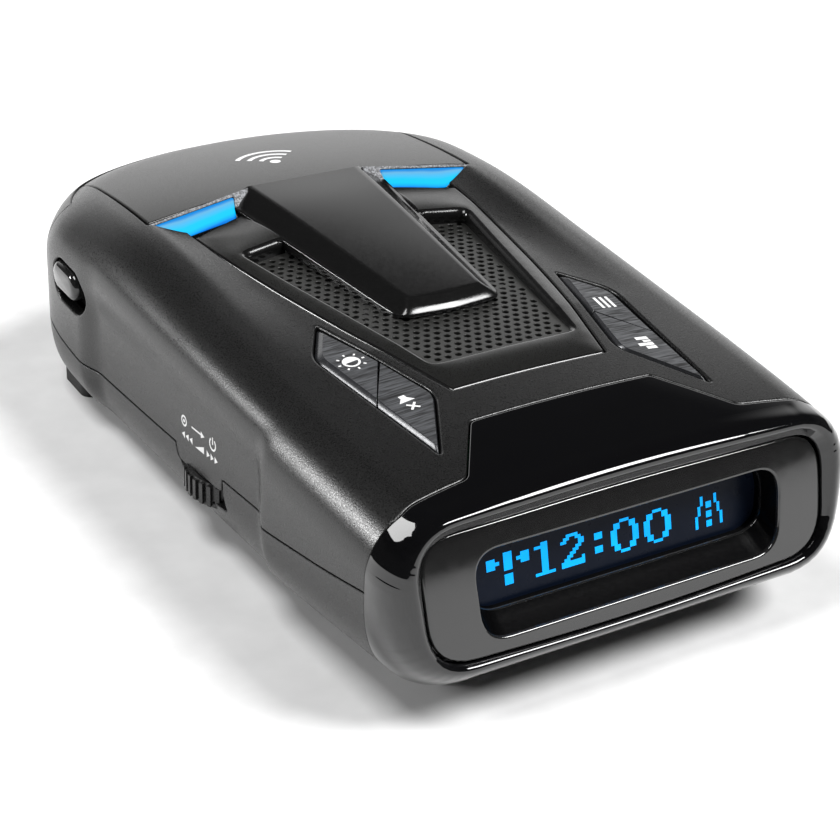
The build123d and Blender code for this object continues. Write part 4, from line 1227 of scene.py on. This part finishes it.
def make_floor():
    bpy.ops.mesh.primitive_plane_add(size=6, location=(0, 0, 0))
    floor = bpy.context.object
    floor.name = "floor"
    floor.data.materials.append(plastic("floor_paint", 0.86, 0.7, 3.0, spread=0.05))


def make_world():
    """A low bright backdrop behind the object in a dark room; the camera itself sees plain white."""
    world = bpy.data.worlds.new("studio")
    bpy.context.scene.world = world
    wiring = Wiring(world)
    where = wiring.node("TexCoord", {}).outputs["Generated"]
    height = wiring.node("SeparateXYZ", {"Vector": where}).outputs["Z"]
    eased = {"interpolation_type": "SMOOTHSTEP"}
    low = wiring.ramp(height, ROOM_LIGHT, HORIZON_LIGHT, HORIZON_TOP, HORIZON_EDGE, **eased)
    facing = wiring.node("VectorMath", {0: where, 1: BACKDROP_SIDE}, operation="DOT_PRODUCT").outputs["Value"]
    behind = wiring.ramp(facing, ROOM_LIGHT, 1.0, 0.70, 0.92, **eased)
    lit = wiring.node("Math", {0: low, 1: behind}, operation="MULTIPLY").outputs["Value"]
    seen = wiring.node("LightPath", {}).outputs["Is Camera Ray"]
    strength = wiring.node("Math", {0: lit, 1: seen}, operation="MAXIMUM").outputs["Value"]
    wiring.feed(wiring.tree.nodes["Background"], {"Strength": strength, "Color": (1, 1, 1, 1)})


def lamp(name, kind, energy, direction):
    data = bpy.data.lights.new(name, kind)
    data.energy = energy
    thing = bpy.data.objects.new(name, data)
    bpy.context.scene.collection.objects.link(thing)
    thing.rotation_euler = Vector(direction).to_track_quat("-Z", "Y").to_euler()
    return thing


def soft_box(name, where, aim, size, power, only=None, spared=None):
    """An area light; it may light only one piece, or every piece but one."""
    box = lamp(name, "AREA", power, Vector(aim) - Vector(where))
    box.location = where
    box.data.shape = "RECTANGLE"
    box.data.size, box.data.size_y = size
    box.visible_camera = False
    chosen = bpy.data.collections.new(name + "_pieces")
    chosen.objects.link(bpy.data.objects[only or spared])
    chosen.collection_objects[0].light_linking.link_state = "INCLUDE" if only else "EXCLUDE"
    box.light_linking.receiver_collection = chosen


def make_lights():
    """Two soft boxes for everything but the bezel, one for the bezel alone, and broad daylight."""
    bezel, middle = "display_bezel", (0, 0, 0)
    soft_box("overhead_box", (-0.36, 0.02, 1.00), middle, (0.46, 0.42), 6.5, spared=bezel)
    soft_box("corner_box", (-0.46, 0.46, 0.74), middle, (0.54, 0.44), 6.5, only=bezel)
    soft_box("left_box", (-0.80, 0.61, 0.41), (-0.037, -0.04, 0.03), (0.20, 0.24), 5.8, spared=bezel)
    lamp("window_light", "SUN", 3.8, (-0.46, 0.41, -0.78)).data.angle = math.radians(26)


def make_camera():
    data = bpy.data.cameras.new("camera")
    data.lens = 86.35
    data.sensor_width = 36
    data.clip_start = 0.01
    camera = bpy.data.objects.new("camera", data)
    bpy.context.scene.collection.objects.link(camera)
    camera.matrix_world = Matrix.Translation(CAMERA_PLACE) @ Matrix(CAMERA_AXES).transposed().to_4x4()
    bpy.context.scene.camera = camera


def dress_nodes():
    for material, names in NODE_LOOKS:
        for name in names:
            materials = frame["nodes"][name].data.materials
            materials.clear()
            materials.append(material)


bpy.context.scene.view_settings.view_transform = "Standard"
make_camera()
make_floor()
dress_nodes()
top_cover()
bottom_cover()
front_panel()
nose_cap()
grille_frame()
speaker_grille()
nose_cowl()
alert_lights()
keys()
rear_bezel()
display_fascia()
display_content()
prints()
release_button()
make_world()
make_lights()
